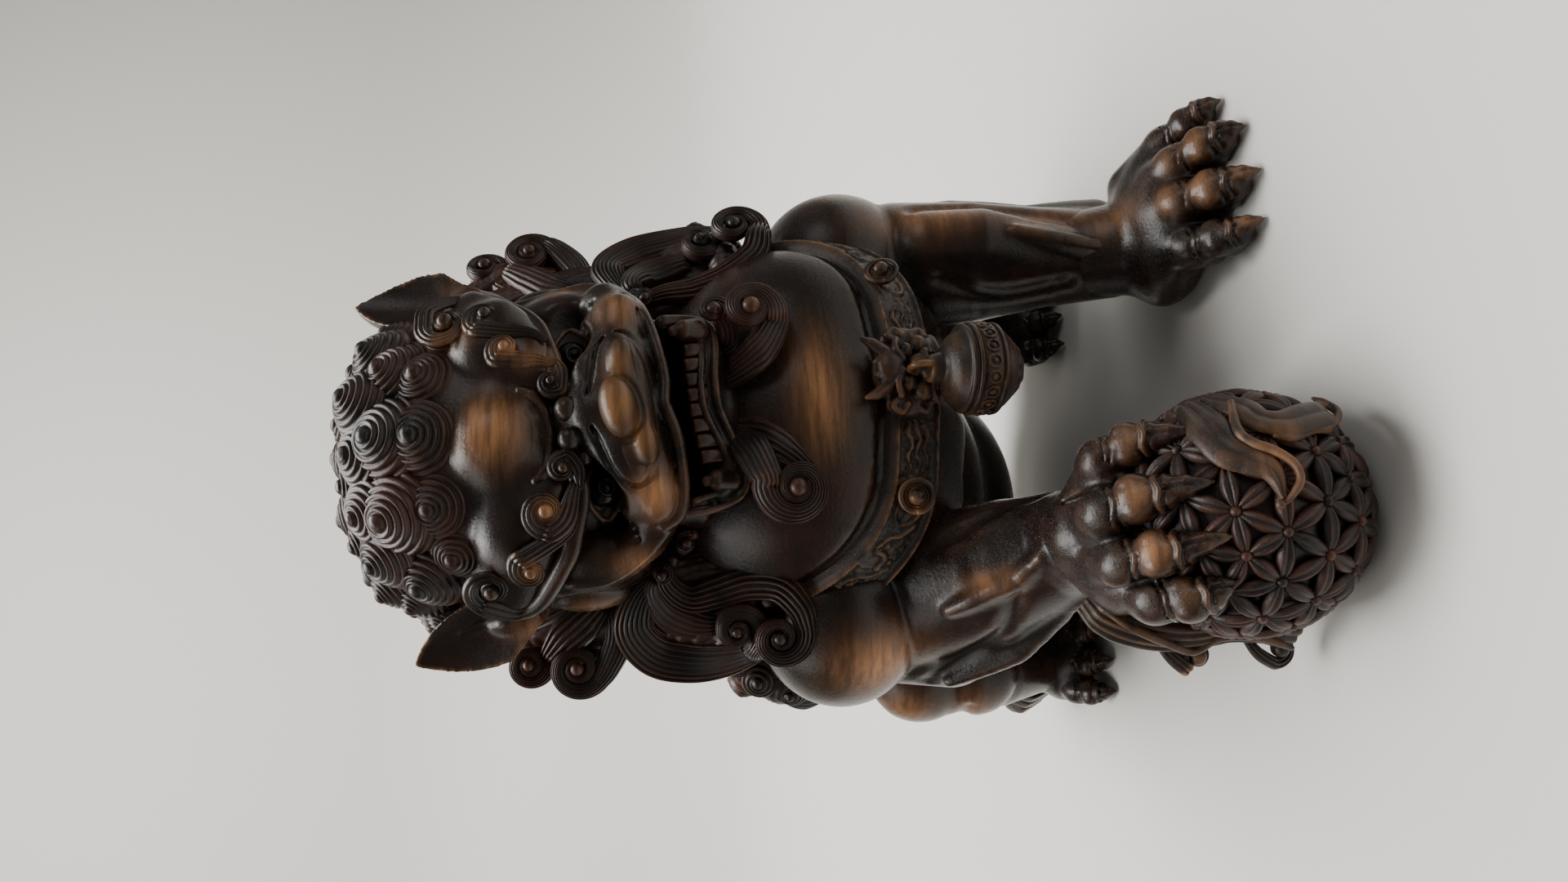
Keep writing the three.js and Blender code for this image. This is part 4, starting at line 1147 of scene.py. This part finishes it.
def make_mane_back():
    c = Clay((-72, -18, 98), (72, 72, 262), STEP * 1.1)
    c.blob((-4, 6, 222), (52, 46, 36), 5)
    c.blob((-2, 16, 190), (56, 38, 38), 6)
    c.blob((-1, 24, 152), (48, 33, 34), 6)
    c.tube([(0, 44, 150, 14), (0, 54, 128, 9), (0, 60, 112, 3)], 6)
    parts = []
    rng = np.random.default_rng(5)
    for row, (z, reach) in enumerate(((243, 66), (226, 84), (208, 92), (190, 90), (172, 86), (155, 80),
                                      (139, 66))):
        count = 7 - (row % 2)
        for a in np.linspace(-reach, reach, count):
            d = (math.sin(math.radians(a)), math.cos(math.radians(a)), 0.05)
            p, n = surface_at(c, (-2 - (6 if z > 200 else 0) * 0.5, 2, z), d)
            radius = 11.0 if abs(a) < 70 else 9.0
            parts.append(snail(p - n * 1.0, n, radius, 7.4, 5.6, 1 if (row + count) % 2 else -1, rng.random(),
                               0.18, 4.0, 40, 30))
    parts.insert(0, groove_hair(c))
    for lift, spread, count in ((6, 88, 6), (-20, 70, 5)):
        parts += [(on_head(v), f) for v, f in head_curls(lift, spread, count, 11.5)]
    # the fringe of the mane, down the back
    for x, turn in ((-30, 1), (-15, -1), (0, 1), (15, -1), (30, 1)):
        drop = 10 * math.cos(x / 24)
        parts.append(lock([(x * 0.9, 44, 138), (x, 56 - abs(x) * 0.2, 130 - drop * 0.4),
                           (x + 3 * turn, 60 - abs(x) * 0.3, 119 - drop)],
                          (x - 3 * turn, 62 - abs(x) * 0.35, 115 - drop), (x / 60, 1, 0.1), turn, 4.6, 2.8,
                          1.3, 5, 2.4, 0.8, 0.6, 0.15, 0.2))
    return merge(parts)


def hair_mass(points, k=5):
    low = np.min([p[:3] for p in points], 0) - 16
    high = np.max([p[:3] for p in points], 0) + 16
    return groove_hair(Clay(low, high, STEP * 0.9).tube(points, k))


def groove_hair(c, pitch=2.6, depth=0.75):
    """Cuts wavy upright strands into a form and meshes it."""
    x, y, z = c.x, c.y, c.z
    wave = np.abs(np.sin(math.pi * (x + 0.75 * y + 1.6 * np.sin(z / 7.5)) / pitch))
    c.f = (c.f + depth * (1 - wave)).astype(np.float32)
    return c.cast()


def make_mane_side(side):
    if side < 0:
        parts = [
            hair_mass([(-70, -8, 210, 6.0), (-66, -10, 204, 7)], 3),
            hair_mass([(-66, -8, 228, 6), (-62, -10, 220, 7)], 3),
            hair_mass([(-72.5, -6, 230, 5.2), (-73.5, -7, 228, 5.2)], 2),
            hair_mass([(-74.5, -12, 215, 6.0), (-75.5, -13, 212, 6.0)], 2),
            hair_mass([(-68, -30, 192, 6), (-71, -28, 180, 7), (-70, -36, 166, 7), (-69, -48, 156, 6)]),
            hair_mass([(-44, -36, 200, 9), (-47, -42, 186, 9), (-50, -46, 170, 8), (-52, -50, 158, 6)]),
            hair_mass([(-56, -10, 238, 7), (-60, -12, 222, 9), (-60, -18, 206, 10), (-62, -26, 190, 10),
                       (-64, -34, 172, 10), (-60, -42, 158, 7)]),
            lock([(-56, -22, 217), (-61.5, -16, 217.5), (-68.5, -13, 221.5)], (-73.0, -13, 229.2),
                 (-0.25, -1, 0.1), -1, 2.9, 3.6, 1.7, 6, 3.6, 0.9, 0.7, 0.12, 0.1, 1.3),
            lock([(-54, -30, 203), (-60.5, -29, 200.6), (-68.6, -25, 200.2), (-76.5, -21, 203.6)],
                 (-75.6, -19, 213.4), (-0.25, -1, 0.1), -1, 3.6, 4.2, 1.8, 8, 4.2, 1.0, 0.7, 0.12, 0.1, 1.4),
            ribbon([(-72, -16, 223), (-66, -22, 217), (-60, -27, 210), (-55, -31, 204)], [(-0.3, -1, 0.2)]
                   * 2, (3.5, 6.5, 7.0, 4.0), 3.8, 6, 1.6),
            ribbon([(-60, -16, 228), (-57, -22, 222), (-55, -27, 215)], [(-0.3, -1, 0.2)] * 2,
                   (3.0, 5.0, 4.0), 3.0, 4),
            lock([(-51.5, -46, 188.5), (-57, -43, 193.5), (-66, -36, 195), (-73.5, -31, 188),
                  (-76.2, -32, 177), (-76.5, -37, 166.5), (-75.0, -43, 158)],
                 (-69.2, -49.5, 163.6), (-0.4, -0.9, 0.15), 1, 3.6, 5.0, 1.7, 9, 4.0, 2.1, 0.9, 0.15, 0.1,
                 2.4),
            ribbon([(-50, -48, 188), (-55, -45, 188.5), (-61, -41, 184), (-64.5, -40, 176), (-66, -42, 168)],
                   [(-0.4, -0.9, 0.15)] * 2, (3.0, 5.5, 7.0, 6.5, 4.0), 4.0, 7, 1.0),
            lock([(-48.5, -51.5, 186.5), (-54.5, -50, 184.5), (-58.6, -49, 178), (-57.4, -52, 169.5),
                  (-55.6, -56.5, 160), (-57.6, -60.5, 151), (-64.5, -62, 145.2)],
                 (-73.0, -57.0, 151.4), (-0.4, -0.9, 0.15), -1, 3.9, 4.6, 1.7, 6, 3.6, 1.9, 0.7, 0.15, 0.2,
                 1.6),
            bead((-50.5, -52.5, 187.4), 3.0), bead((-43.5, -56, 180.6), 2.4), bead((-47, -54, 184), 2.2),
            bead((-39.5, -58, 177.5), 2.0)]
        tufts = [(-50, -53, 188.5, -1), (-41, -57, 180.5, 1)]
    else:
        parts = [
            hair_mass([(76, -6, 219, 6.0), (72, -8, 214, 6.0)], 3),
            hair_mass([(82, -28, 166, 4.6), (77, -30, 160, 5.5)], 3),
            hair_mass([(73, 0, 244, 5.2), (74, -1, 241, 5.2)], 2),
            hair_mass([(76, -6, 228, 6.0), (77, -6, 224, 6.0)], 2),
            hair_mass([(66, -30, 194, 6), (69, -28, 182, 7), (68, -38, 168, 7), (66, -47, 158, 6)]),
            hair_mass([(40, -34, 204, 9), (43, -42, 188, 9), (46, -48, 170, 8), (50, -52, 158, 7),
                       (62, -50, 160, 6)]),
            hair_mass([(66, -6, 248, 4), (70, -9, 236, 7), (66, -12, 220, 8)]),
            hair_mass([(56, -10, 244, 7), (60, -12, 228, 9), (62, -16, 210, 10), (60, -26, 192, 10),
                       (61, -34, 172, 10), (56, -44, 158, 7)]),
            lock([(57, -18, 222), (62.5, -14, 230), (67.5, -10, 238)], (73.5, -7, 243.0), (0.5, -0.85, 0.1),
                 1, 3.2, 4.2, 1.6, 7, 3.8, 1.0, 0.7, 0.12, 0.1, 1.4),
            lock([(56, -24, 206), (64, -21, 207.4), (72.5, -17, 210.6), (80, -14, 217)], (77.4, -12, 226.6),
                 (0.35, -0.95, 0.1), 1, 3.7, 4.4, 1.8, 8, 4.2, 1.0, 0.7, 0.12, 0.1, 1.5),
            ribbon([(72, -12, 236), (67, -17, 228), (61, -22, 220), (57, -26, 212)], [(0.4, -1, 0.2)] * 2,
                   (3.5, 6.5, 7.0, 4.0), 3.8, 6, 1.6),
            lock([(48.5, -45, 193), (55, -41.5, 198), (64.5, -34, 199), (71.5, -31, 190), (74.0, -33, 178),
                  (74.0, -38, 167.5), (71.5, -43.5, 161)],
                 (66.8, -47.5, 167.8), (0.4, -0.9, 0.15), -1, 3.2, 4.8, 1.6, 9, 3.8, 2.1, 0.9, 0.15, 0.3,
                 2.4),
            ribbon([(48, -46, 191), (53, -44, 192), (58.5, -40, 187), (61.5, -40, 178), (62.5, -43, 169)],
                   [(0.4, -0.9, 0.15)] * 2, (3.0, 5.5, 6.5, 6.0, 4.0), 4.0, 6, 1.0),
            lock([(44.5, -50, 189), (46.4, -52, 181.6), (46.4, -56, 171.8), (49.4, -60, 161),
                  (56.5, -62, 151.8), (64.6, -60.5, 149.2)],
                 (69.2, -55.4, 156.6), (0.4, -0.9, 0.15), 1, 4.0, 4.6, 1.6, 6, 3.6, 1.9, 0.7, 0.15, 0.2, 1.6),
            bead((46, -52, 192), 2.6)]
        tufts = [(45, -53, 190, 1)]
    for x, y, z, turn in tufts:
        parts.append(lock([(x + 3, y + 2, z + 2), (x + 1, y - 1, z - 2)], (x - 2, y - 2, z - 1),
                          (0.2 * turn, -1, 0.2), turn, 1.8, 1.6, 1.2, 3, 1.5, 0.5, 0.5))
    return merge(parts)


def make_shoulder_lock(side):
    s = side
    parts = [hair_mass([(s * 74, 4, 150, 10), (s * 80, 4, 138, 11), (s * 80, 8, 124, 9)], 6)]
    for centre, radius, tilt in (((83, -4, 149), 7.2, 0.5), ((88, -2, 137), 6.4, 0.8),
                                 ((77, -5, 157), 5.2, 0.4), ((84, 12, 152), 6.6, 1.0),
                                 ((86, 14, 134), 6.4, 1.2)):
        n = unit((s * tilt, -0.8 if centre[1] < 5 else 0.6, 0.35))
        parts.append(snail(np.array((s * centre[0], centre[1], centre[2])) - n * 2.5, n, radius, 4.6, 4.0, s,
                           0.3, 0.2, 3.5, 44, 36))
    for k in range(3):
        x = s * (84 + 2.5 * k)
        parts.append(ribbon([(x - s * 3, -2 + 4 * k, 140), (x, 0 + 4 * k, 130), (x - s * 3, 2 + 4 * k, 119)],
                            [(s * 0.8, -0.6, 0)] * 2, (2.0, 4.2, 1.5), 3.2, 4, 0.7))
    return merge(parts)


def make_tail():
    parts = [hair_mass([(0, 90, 44, 12), (0, 97, 66, 15), (0, 93, 96, 14), (-2, 80, 124, 9),
                        (-5, 70, 142, 4)], 5)]
    back = (0, 1, 0.15)
    parts.append(ribbon([(0, 104, 40), (2, 114, 66), (0, 109, 96), (-2, 93, 126), (-7, 72, 150)],
                        [back, (0, 1, 0.3), (0, 0.7, 0.7)], (5, 8, 8.5, 6.5, 1.4), 4.6, 5, 1.5))
    for s in (-1, 1):
        for x, z, y, size in ((13, 50, 103, 3.4), (16, 70, 106, 3.8), (15, 92, 104, 3.6), (12, 112, 95, 3.2),
                              (8, 130, 84, 2.6)):
            parts.append(lock([(s * (x - 11), y - 4, z - 20), (s * (x - 5), y - 1, z - 13),
                               (s * (x + 2.4), y - 1, z - 7)], (s * (x - 0.6), y - 1.6, z),
                              (s * 0.45, 1, 0.15), s, size, 3.4, 1.5, 6, 3.0, 1.0, 0.8, 0.14, 0.2, 1.5))
    return merge(parts)


# ---------- ball, ribbons, bell, mask and studs ----------
def geodesic(parts_per_edge=3):
    g = (1 + 5**0.5) / 2
    base = np.array([(-1, g, 0), (1, g, 0), (-1, -g, 0), (1, -g, 0), (0, -1, g), (0, 1, g), (0, -1, -g),
                     (0, 1, -g), (g, 0, -1), (g, 0, 1), (-g, 0, -1), (-g, 0, 1)], float)
    near = [(i, j, k) for i in range(12) for j in range(i) for k in range(j)
            if all(abs(np.linalg.norm(base[a] - base[b]) - 2) < 0.01 for a, b in ((i, j), (j, k), (i, k)))]
    points, edges = [], set()
    n = parts_per_edge

    def add(p):
        p = unit(p)
        for i, q in enumerate(points):
            if np.linalg.norm(p - q) < 0.02:
                return i
        points.append(p)
        return len(points) - 1

    for a, b, c in near:
        grid = {(i, j): add(base[a] * i + base[b] * j + base[c] * (n - i - j)) for i in range(n + 1)
                for j in range(n + 1 - i)}
        for (i, j), v in grid.items():
            for di, dj in ((1, 0), (0, 1), (1, -1)):
                if (i + di, j + dj) in grid:
                    edges.add(tuple(sorted((v, grid[(i + di, j + dj)]))))
    return np.array(points), sorted(edges)


def circle(centre, u, v, radius, count):
    """Points of a closed circle about centre, in the plane of u and v."""
    return np.array([centre + radius * (math.cos(q) * u + math.sin(q) * v)
                     for q in np.linspace(0, 2 * math.pi, count)])


def hoop(ring, normal, half, thick, sides):
    """A plain round band along a ring."""
    count = len(ring)
    return strand_band(ring, np.tile(normal, (count, 1)), np.full(count, half), np.full(count, thick), 1, 0.0,
                       sides)


def frame_from(a, b):
    a = unit(a)
    b = unit(b - a * np.dot(a, b))
    return np.column_stack([a, b, np.cross(a, b)])


def make_ball():
    points, edges = geodesic()
    degree = np.bincount(np.array(edges).ravel())
    first, second = next((i, j) for i, j in edges if degree[i] == 6 and degree[j] == 6)
    seen = frame_from(np.array([-66.3, -163.3, 38.1]) - BALL, np.array([-59.1, -166.0, 26.6]) - BALL)
    points = points @ (seen @ frame_from(points[first], points[second]).T).T
    c = Clay(BALL - 37, BALL + 37, STEP * 1.2).blob(BALL, (BALL_R - 2.6,) * 3).above(0.0)
    parts = [c.cast()]
    for i, j in edges:
        middle = BALL + unit(points[i] + points[j]) * BALL_R
        if middle[2] < 2.5:
            continue
        t = np.linspace(0.07, 0.93, 12)
        path = np.array([unit(points[i] * (1 - s) + points[j] * s) for s in t])
        swell = np.sin(math.pi * t)
        half = 0.35 + 2.15 * swell**0.9
        parts.append(strand_band(BALL + path * (BALL_R - 1.5 + 0.7 * swell[:, None]), path, half,
                                 0.5 + 1.1 * swell, 2, 0.8, 20))
    for p in points:
        at = BALL + p * (BALL_R - 0.6)
        if at[2] > 2.5:
            parts.append(bead(at, 1.5, 6))
    return merge(parts)


def out_of_ball(points):
    return [unit(np.array(p, float) - BALL) for p in points]


def make_ribbon_left():
    top = [(-24, -140, 47), (-34.5, -153.5, 50), (-42.5, -159.5, 49.5), (-46.5, -162.6, 45.5),
           (-50.6, -165.5, 41.5), (-58.2, -166.4, 40.0)]
    fold = [(-22.5, -140, 42), (-30.0, -155.5, 40.2), (-35.0, -160.5, 38.5), (-37.0, -163.8, 33.5),
            (-35.4, -163.5, 26.0), (-33.5, -161.0, 17.5)]
    edge = [(-27.5, -154.0, 41.4), (-37.9, -160.9, 45.8), (-42.2, -163.6, 44.2), (-45.2, -166.2, 40.1),
            (-49.3, -168, 36.4), (-54.0, -168.4, 35.9), (-58.6, -167.2, 39.4), (-59.6, -166.4, 41.6)]
    hem = [(-40.4, -164.2, 38.0), (-41.5, -165.0, 32.5), (-39.4, -164.8, 26.5), (-38.6, -163.8, 20.5),
           (-33.0, -160.0, 14.0), (-26.5, -153.0, 15.0)]
    return merge([ribbon(top, out_of_ball(top), (3, 5.0, 5.6, 5.2, 3.6, 0.8), 2.0, 2, 0.5),
                  ribbon(fold, out_of_ball(fold), (2.5, 4.4, 4.6, 4.6, 5.0, 5.2), 1.8, 2, 0.5),
                  ribbon(edge, out_of_ball(edge), (0.9, 1.3, 1.4, 1.4, 1.3, 1.2, 1.1, 0.5), 1.7, 1, 0.0, 16),
                  ribbon(hem, out_of_ball(hem), (0.8, 1.2, 1.2, 1.1, 1.0, 0.6), 1.5, 1, 0.0, 16),
                  bead((-59.6, -166.6, 41.4), 1.3)])


def make_ribbon_right():
    out = [(-0.75, -0.65, 0.1)] * 2
    side = [(-74, -108, 70), (-80, -111, 66), (-84.5, -113, 56), (-86.5, -116, 44), (-85.5, -119, 32),
            (-86, -120, 20), (-88, -119, 10)]
    rim = [(-77, -114, 68), (-83.5, -116.5, 60), (-88, -116, 50), (-90.5, -115, 42), (-87.5, -119, 35),
           (-88.5, -122, 24), (-92, -120, 13)]
    return merge([ribbon(side, out, (4, 5.5, 5.5, 5.0, 4.2, 5.0, 6.5), 2.6, 4, 0.8),
                  ribbon(rim, out, (0.8, 1.3, 1.4, 1.4, 1.2, 1.3, 0.8), 1.6, 1, 0.0, 16),
                  lock([(-86, -110, 50), (-91, -109, 46), (-95, -108, 41)], (-91.5, -108, 37.5),
                       (-0.3, -0.95, 0), -1, 2.3, 1.9, 1.1, 3, 1.6, 0.5, 0.6),
                  lock([(-87, -114, 24), (-92, -113, 20), (-95, -112, 15)], (-91, -113, 13.0),
                       (-0.3, -0.95, 0), 1, 2.0, 1.8, 1.0, 3, 1.2, 0.5, 0.6)])


BELL = np.array([-1.5, -109.0, 94.5])


def make_bell():
    t = np.linspace(0, 2 * math.pi, 120, endpoint=False)
    # height from the middle, radius, depth of the lobes
    profile = [(-14.2, 0.6, 0), (-13.9, 4.0, 0), (-12.6, 6.8, 0.9), (-10.8, 8.8, 1.0), (-9.6, 9.6, 0.7),
               (-9.2, 10.8, 0), (-7.0, 13.0, 0), (-4.9, 14.5, 0), (-4.6, 15.3, 0), (-3.6, 15.5, 0),
               (-3.1, 14.7, 0), (-2.6, 14.9, 0), (2.6, 15.0, 0), (3.0, 14.6, 0), (3.5, 15.5, 0),
               (4.3, 15.3, 0), (4.7, 14.3, 0), (5.2, 14.3, 0), (5.8, 14.9, 0), (6.4, 14.6, 0), (6.8, 13.4, 0),
               (7.2, 13.0, 0), (9.6, 11.0, 0), (11.4, 8.4, 0), (12.2, 6.4, 0), (12.6, 5.6, 0), (14.6, 5.0, 0),
               (16.4, 4.4, 0), (16.8, 0.6, 0)]
    fine = []
    for (z0, r0, l0), (z1, r1, l1) in zip(profile[:-1], profile[1:]):
        for s in np.linspace(0, 1, 3, endpoint=False):
            fine.append((z0 + (z1 - z0) * s, r0 + (r1 - r0) * s, l0 + (l1 - l0) * s))
    fine.append(profile[-1])
    rings = []
    for z, r, lobe in fine:
        reach = r + lobe * np.abs(np.cos(4 * t)) - 0.5 * lobe
        rings.append(np.column_stack([reach * np.cos(t), reach * np.sin(t), np.full_like(t, z)]))
    parts = [tube_mesh(np.array(rings) + BELL)]
    for k in range(18):
        a = 2 * math.pi * k / 18
        n = np.array([math.cos(a), math.sin(a), 0.0])
        at = BELL + n * 14.9
        parts.append(bead(at, 1.0, 6))
        u = np.array([-math.sin(a), math.cos(a), 0.0])
        parts.append(hoop(circle(at, u, np.array([0, 0, 1]), 2.0, 17), n, 0.55, 0.6, 10))
    eye = np.array([(0, 4.2 * math.cos(q), 18.5 + 3.4 * math.sin(q))
                    for q in np.linspace(0, 2 * math.pi, 25)])
    parts.append(hoop(eye + BELL, [1.0, 0, 0], 1.5, 1.5, 14))
    points, faces = merge(parts)
    return BELL + (np.asarray(points) - BELL) * (0.92, 0.92, 0.97), faces


def make_mask():
    c = Clay((-20, -118, 98), (22, -86, 134), grain(0.42))
    m = np.array([1.2, -99.0, 114.5])

    def lump(x, y, z, r, k=1.2, carve=False):
        c.blob(m + (x, y, z), r, k, (0, 0, 0), carve)

    lump(0, 2, 0, (11, 5.5, 10), 2)
    lump(0, -3.5, 5.5, (6.2, 4.0, 4.8))
    lump(0, -6.0, -2.4, (3.6, 4.0, 3.0))
    lump(0, -7.5, -4.0, (4.6, 2.6, 1.9), 0.7)
    for s in (-1, 1):
        lump(s * 5.2, -4.8, 0.8, (2.5, 2.3, 2.2), 0.5)
        lump(s * 3.2, -7.6, -4.2, (1.9, 1.9, 1.5), 0.5)
        lump(s * 7.2, -3.6, -4.0, (3.4, 2.8, 3.0), 0.8)
        c.strip([m + (s * 2.0, -6.2, 2.4), m + (s * 5.4, -6.2, 4.4), m + (s * 9.0, -4.0, 3.2)], 1.1, 0.6)
        c.tube([(*(m + (s * 5.5, -2.6, 7)), 2.2), (*(m + (s * 8.2, -2.6, 10.5)), 1.8),
                (*(m + (s * 9.6, -3.4, 14.2)), 0.7)], 0.8)
        lump(s * 10.5, 0.5, 0, (4.2, 3.2, 7.0), 1.5)
        c.strip([m + (s * 9, -2, 3), m + (s * 11.6, -1.6, 5.2), m + (s * 13.4, -1.0, 2.6),
                 m + (s * 11.4, -2.2, 0.8)], 1.1, 0.6)
        c.strip([m + (s * 9, -2, -2), m + (s * 12.0, -1.4, -2.6), m + (s * 13.2, -0.8, -5.6),
                 m + (s * 11.0, -1.8, -6.6)], 1.1, 0.6)
        c.strip([m + (s * 1.5, -6.5, -7.6), m + (s * 6.5, -5.0, -6.6), m + (s * 10, -2.5, -8.4)], 1.3, 0.6)
        c.strip([m + (s * 2, -3, 10.5), m + (s * 3.4, -4.5, 7.8), m + (s * 1.6, -6.2, 5.4)], 0.7, 0.6)
    c.strip([m + (-9, -3, -10), m + (-4, -6.0, -10.6), m + (2, -6.6, -9.6), m + (9, -3.2, -8.8)], 1.5, 0.6)
    c.strip([m + (-6, -7, -7.8), m + (0, -8, -7.2), m + (6, -7, -7.8)], 0.7, 0.8, True)
    for k in range(5):
        lump(-4 + 2 * k, -6.6, -6.6, (0.75, 0.8, 1.1), 0.3)
    return c.cast()


def make_stud(at, out):
    n = unit(out)
    u = unit(np.cross(n, (0, 0, 1.0)))
    v = np.cross(n, u)
    at = np.array(at, float)
    parts = [bead(at + n * 0.8, 2.6, 10)]
    for radius, thick in ((4.9, 0.95), (3.4, 0.45)):
        parts.append(hoop(circle(at, u, v, radius, 33), n, thick, thick, 12))
    t = np.linspace(0, 2 * math.pi, 40, endpoint=False)
    spokes = np.cos(t)[:, None] * u + np.sin(t)[:, None] * v
    disc = np.stack([at - n * (1.6 - 1.6 * k) + r * spokes for k, r in ((0, 4.9), (1, 4.9), (1.02, 0.4))])
    parts.append(tube_mesh(disc))
    return merge(parts)


for name, shape, slot, edge in (
    ("mane_back", make_mane_back(), "hair", 0.5),
    ("mane_side_right", make_mane_side(-1), "hair", 0.45),
    ("mane_side_left", make_mane_side(1), "hair", 0.45),
    ("shoulder_lock_right", make_shoulder_lock(-1), "hair", 0.35),
    ("shoulder_lock_left", make_shoulder_lock(1), "hair", 0.35),
    ("tail", make_tail(), "hair", 0.5),
    ("ball", make_ball(), "ball", 0.8),
    ("ball_ribbon_left", make_ribbon_left(), "relief", 0.9),
    ("ball_ribbon_right", make_ribbon_right(), "relief", 0.7),
    ("bell", make_bell(), "gilt", 0.5),
    ("collar_beast_mask", make_mask(), "gilt", 0.7),
    ("collar_stud_right", make_stud((-37.2, -93.2, 112.9), (-0.35, -0.85, 0.3)), "gilt", 0.9),
    ("collar_stud_left", make_stud((39.2, -90.0, 115.6), (0.4, -0.85, 0.3)), "gilt", 0.9),
):
    piece("cast_" + name, shape, [name], slot, edge=edge)


# ---------- floor, light and camera, in metres ----------
PAPER_FRONT, PAPER_SIDE, PAPER_TOP = -4.0, 5.0, 2.2
SWEEP_START, SWEEP_RADIUS = 1.0, 0.45  # where the paper begins to rise, and how tightly


def make_floor():
    """A sheet of pale paper that lies flat and sweeps up behind the statue."""
    mesh = bpy.data.meshes.new("floor")
    flat = [(y, 0.0) for y in np.linspace(PAPER_FRONT, SWEEP_START - 0.1, 28)]
    bend = [(SWEEP_START + SWEEP_RADIUS * math.sin(a), SWEEP_RADIUS - SWEEP_RADIUS * math.cos(a))
            for a in np.linspace(0, math.pi / 2, 14)]
    wall = [(SWEEP_START + SWEEP_RADIUS, z) for z in np.linspace(SWEEP_RADIUS + 0.15, PAPER_TOP, 8)]
    profile = flat + bend + wall
    across = np.linspace(-PAPER_SIDE, PAPER_SIDE, 41)
    v = [(x, y, z) for y, z in profile for x in across]
    n = len(across)
    corners = [i * n + j for i in range(len(profile) - 1) for j in range(n - 1)]
    f = [(k, k + 1, k + n + 1, k + n) for k in corners]
    mesh.from_pydata(v, [], f)
    mesh.polygons.foreach_set("use_smooth", [True] * len(f))
    ob = bpy.data.objects.new("floor", mesh)
    bpy.context.scene.collection.objects.link(ob)
    mat = bpy.data.materials.new("floor_paper")
    mat.use_nodes = True
    nt = mat.node_tree
    shader = nt.nodes["Principled BSDF"]
    noise = nt.nodes.new("ShaderNodeTexNoise")
    noise.inputs["Scale"].default_value = 3.0
    tone = nt.nodes.new("ShaderNodeMix")
    tone.data_type = "RGBA"
    tone.inputs[6].default_value, tone.inputs[7].default_value = (0.66, 0.64, 0.60, 1), (0.70, 0.68, 0.64, 1)
    nt.links.new(noise.outputs["Fac"], tone.inputs[0])
    nt.links.new(tone.outputs[2], shader.inputs["Base Color"])
    shader.inputs["Roughness"].default_value = 0.55
    mesh.materials.append(mat)


def stand(x, y, z, at):
    """The matrix of an object at a place, with the given directions for its own axes."""
    return Matrix(np.vstack([np.column_stack([x, y, z, at]), (0, 0, 0, 1)]).tolist())


def area_light(name, at, towards, size, power, colour):
    data = bpy.data.lights.new(name, "AREA")
    data.shape, data.size, data.size_y = "RECTANGLE", size[0], size[1]
    data.energy, data.color = power, colour
    ob = bpy.data.objects.new(name, data)
    bpy.context.scene.collection.objects.link(ob)
    back = unit(np.array(at, float) - np.array(towards, float))
    right = unit(np.cross([0, 0, 1.0], back))
    up = np.cross(back, right)
    ob.matrix_world = stand(right, up, back, at)


make_floor()
for light in (  # name, place, what it faces, size, power in watts, colour
    ("window", (-0.85, 0.10, 1.05), (0, 0, 0.15), (0.7, 0.6), 3.0, (1.0, 0.985, 0.96)),
    ("fill", (0.9, -0.9, 0.9), (0, 0, 0.15), (0.8, 0.6), 2.4, (0.97, 0.98, 1.0)),
    ("top", (0.0, 0.30, 1.5), (0, 0.05, 0.0), (1.3, 0.9), 46.0, (1.0, 0.995, 0.985)),
    ("wall", (0.2, 0.35, 1.35), (0.1, 1.5, 0.55), (1.6, 0.5), 12.0, (1.0, 0.995, 0.985)),
):
    area_light(*light)
world = bpy.data.worlds.new("studio")
bpy.context.scene.world = world
world.use_nodes = True
sky = world.node_tree.nodes["Background"].inputs
sky["Color"].default_value, sky["Strength"].default_value = (0.66, 0.645, 0.62, 1), 0.30

# The camera's place, sensor and focal length in mm, and its angles in degrees.
CAMERA = {"at": (-118.4, -428.7, 231.5), "azimuth": -16.5, "elevation": 12.6, "roll": -0.8,
          "focal": 27.15375, "sensor": 36.0}


def make_camera():
    """A camera held on its side: the statue's up points to the left edge of the frame."""
    a, e, r = (math.radians(CAMERA[k]) for k in ("azimuth", "elevation", "roll"))
    back = np.array([math.sin(a) * math.cos(e), -math.cos(a) * math.cos(e), math.sin(e)])
    right = np.array([math.cos(a), math.sin(a), 0.0])
    up = np.cross(back, right)
    across = right * math.cos(r) + up * math.sin(r)
    over = -right * math.sin(r) + up * math.cos(r)
    data = bpy.data.cameras.new("camera")
    data.sensor_fit, data.sensor_width, data.lens = "HORIZONTAL", CAMERA["sensor"], CAMERA["focal"]
    data.clip_start, data.clip_end = 0.01, 20.0
    ob = bpy.data.objects.new("camera", data)
    bpy.context.scene.collection.objects.link(ob)
    ob.matrix_world = stand(-over, across, back, (np.array(CAMERA["at"]) + OFFSET) * MM)
    bpy.context.scene.camera = ob


make_camera()
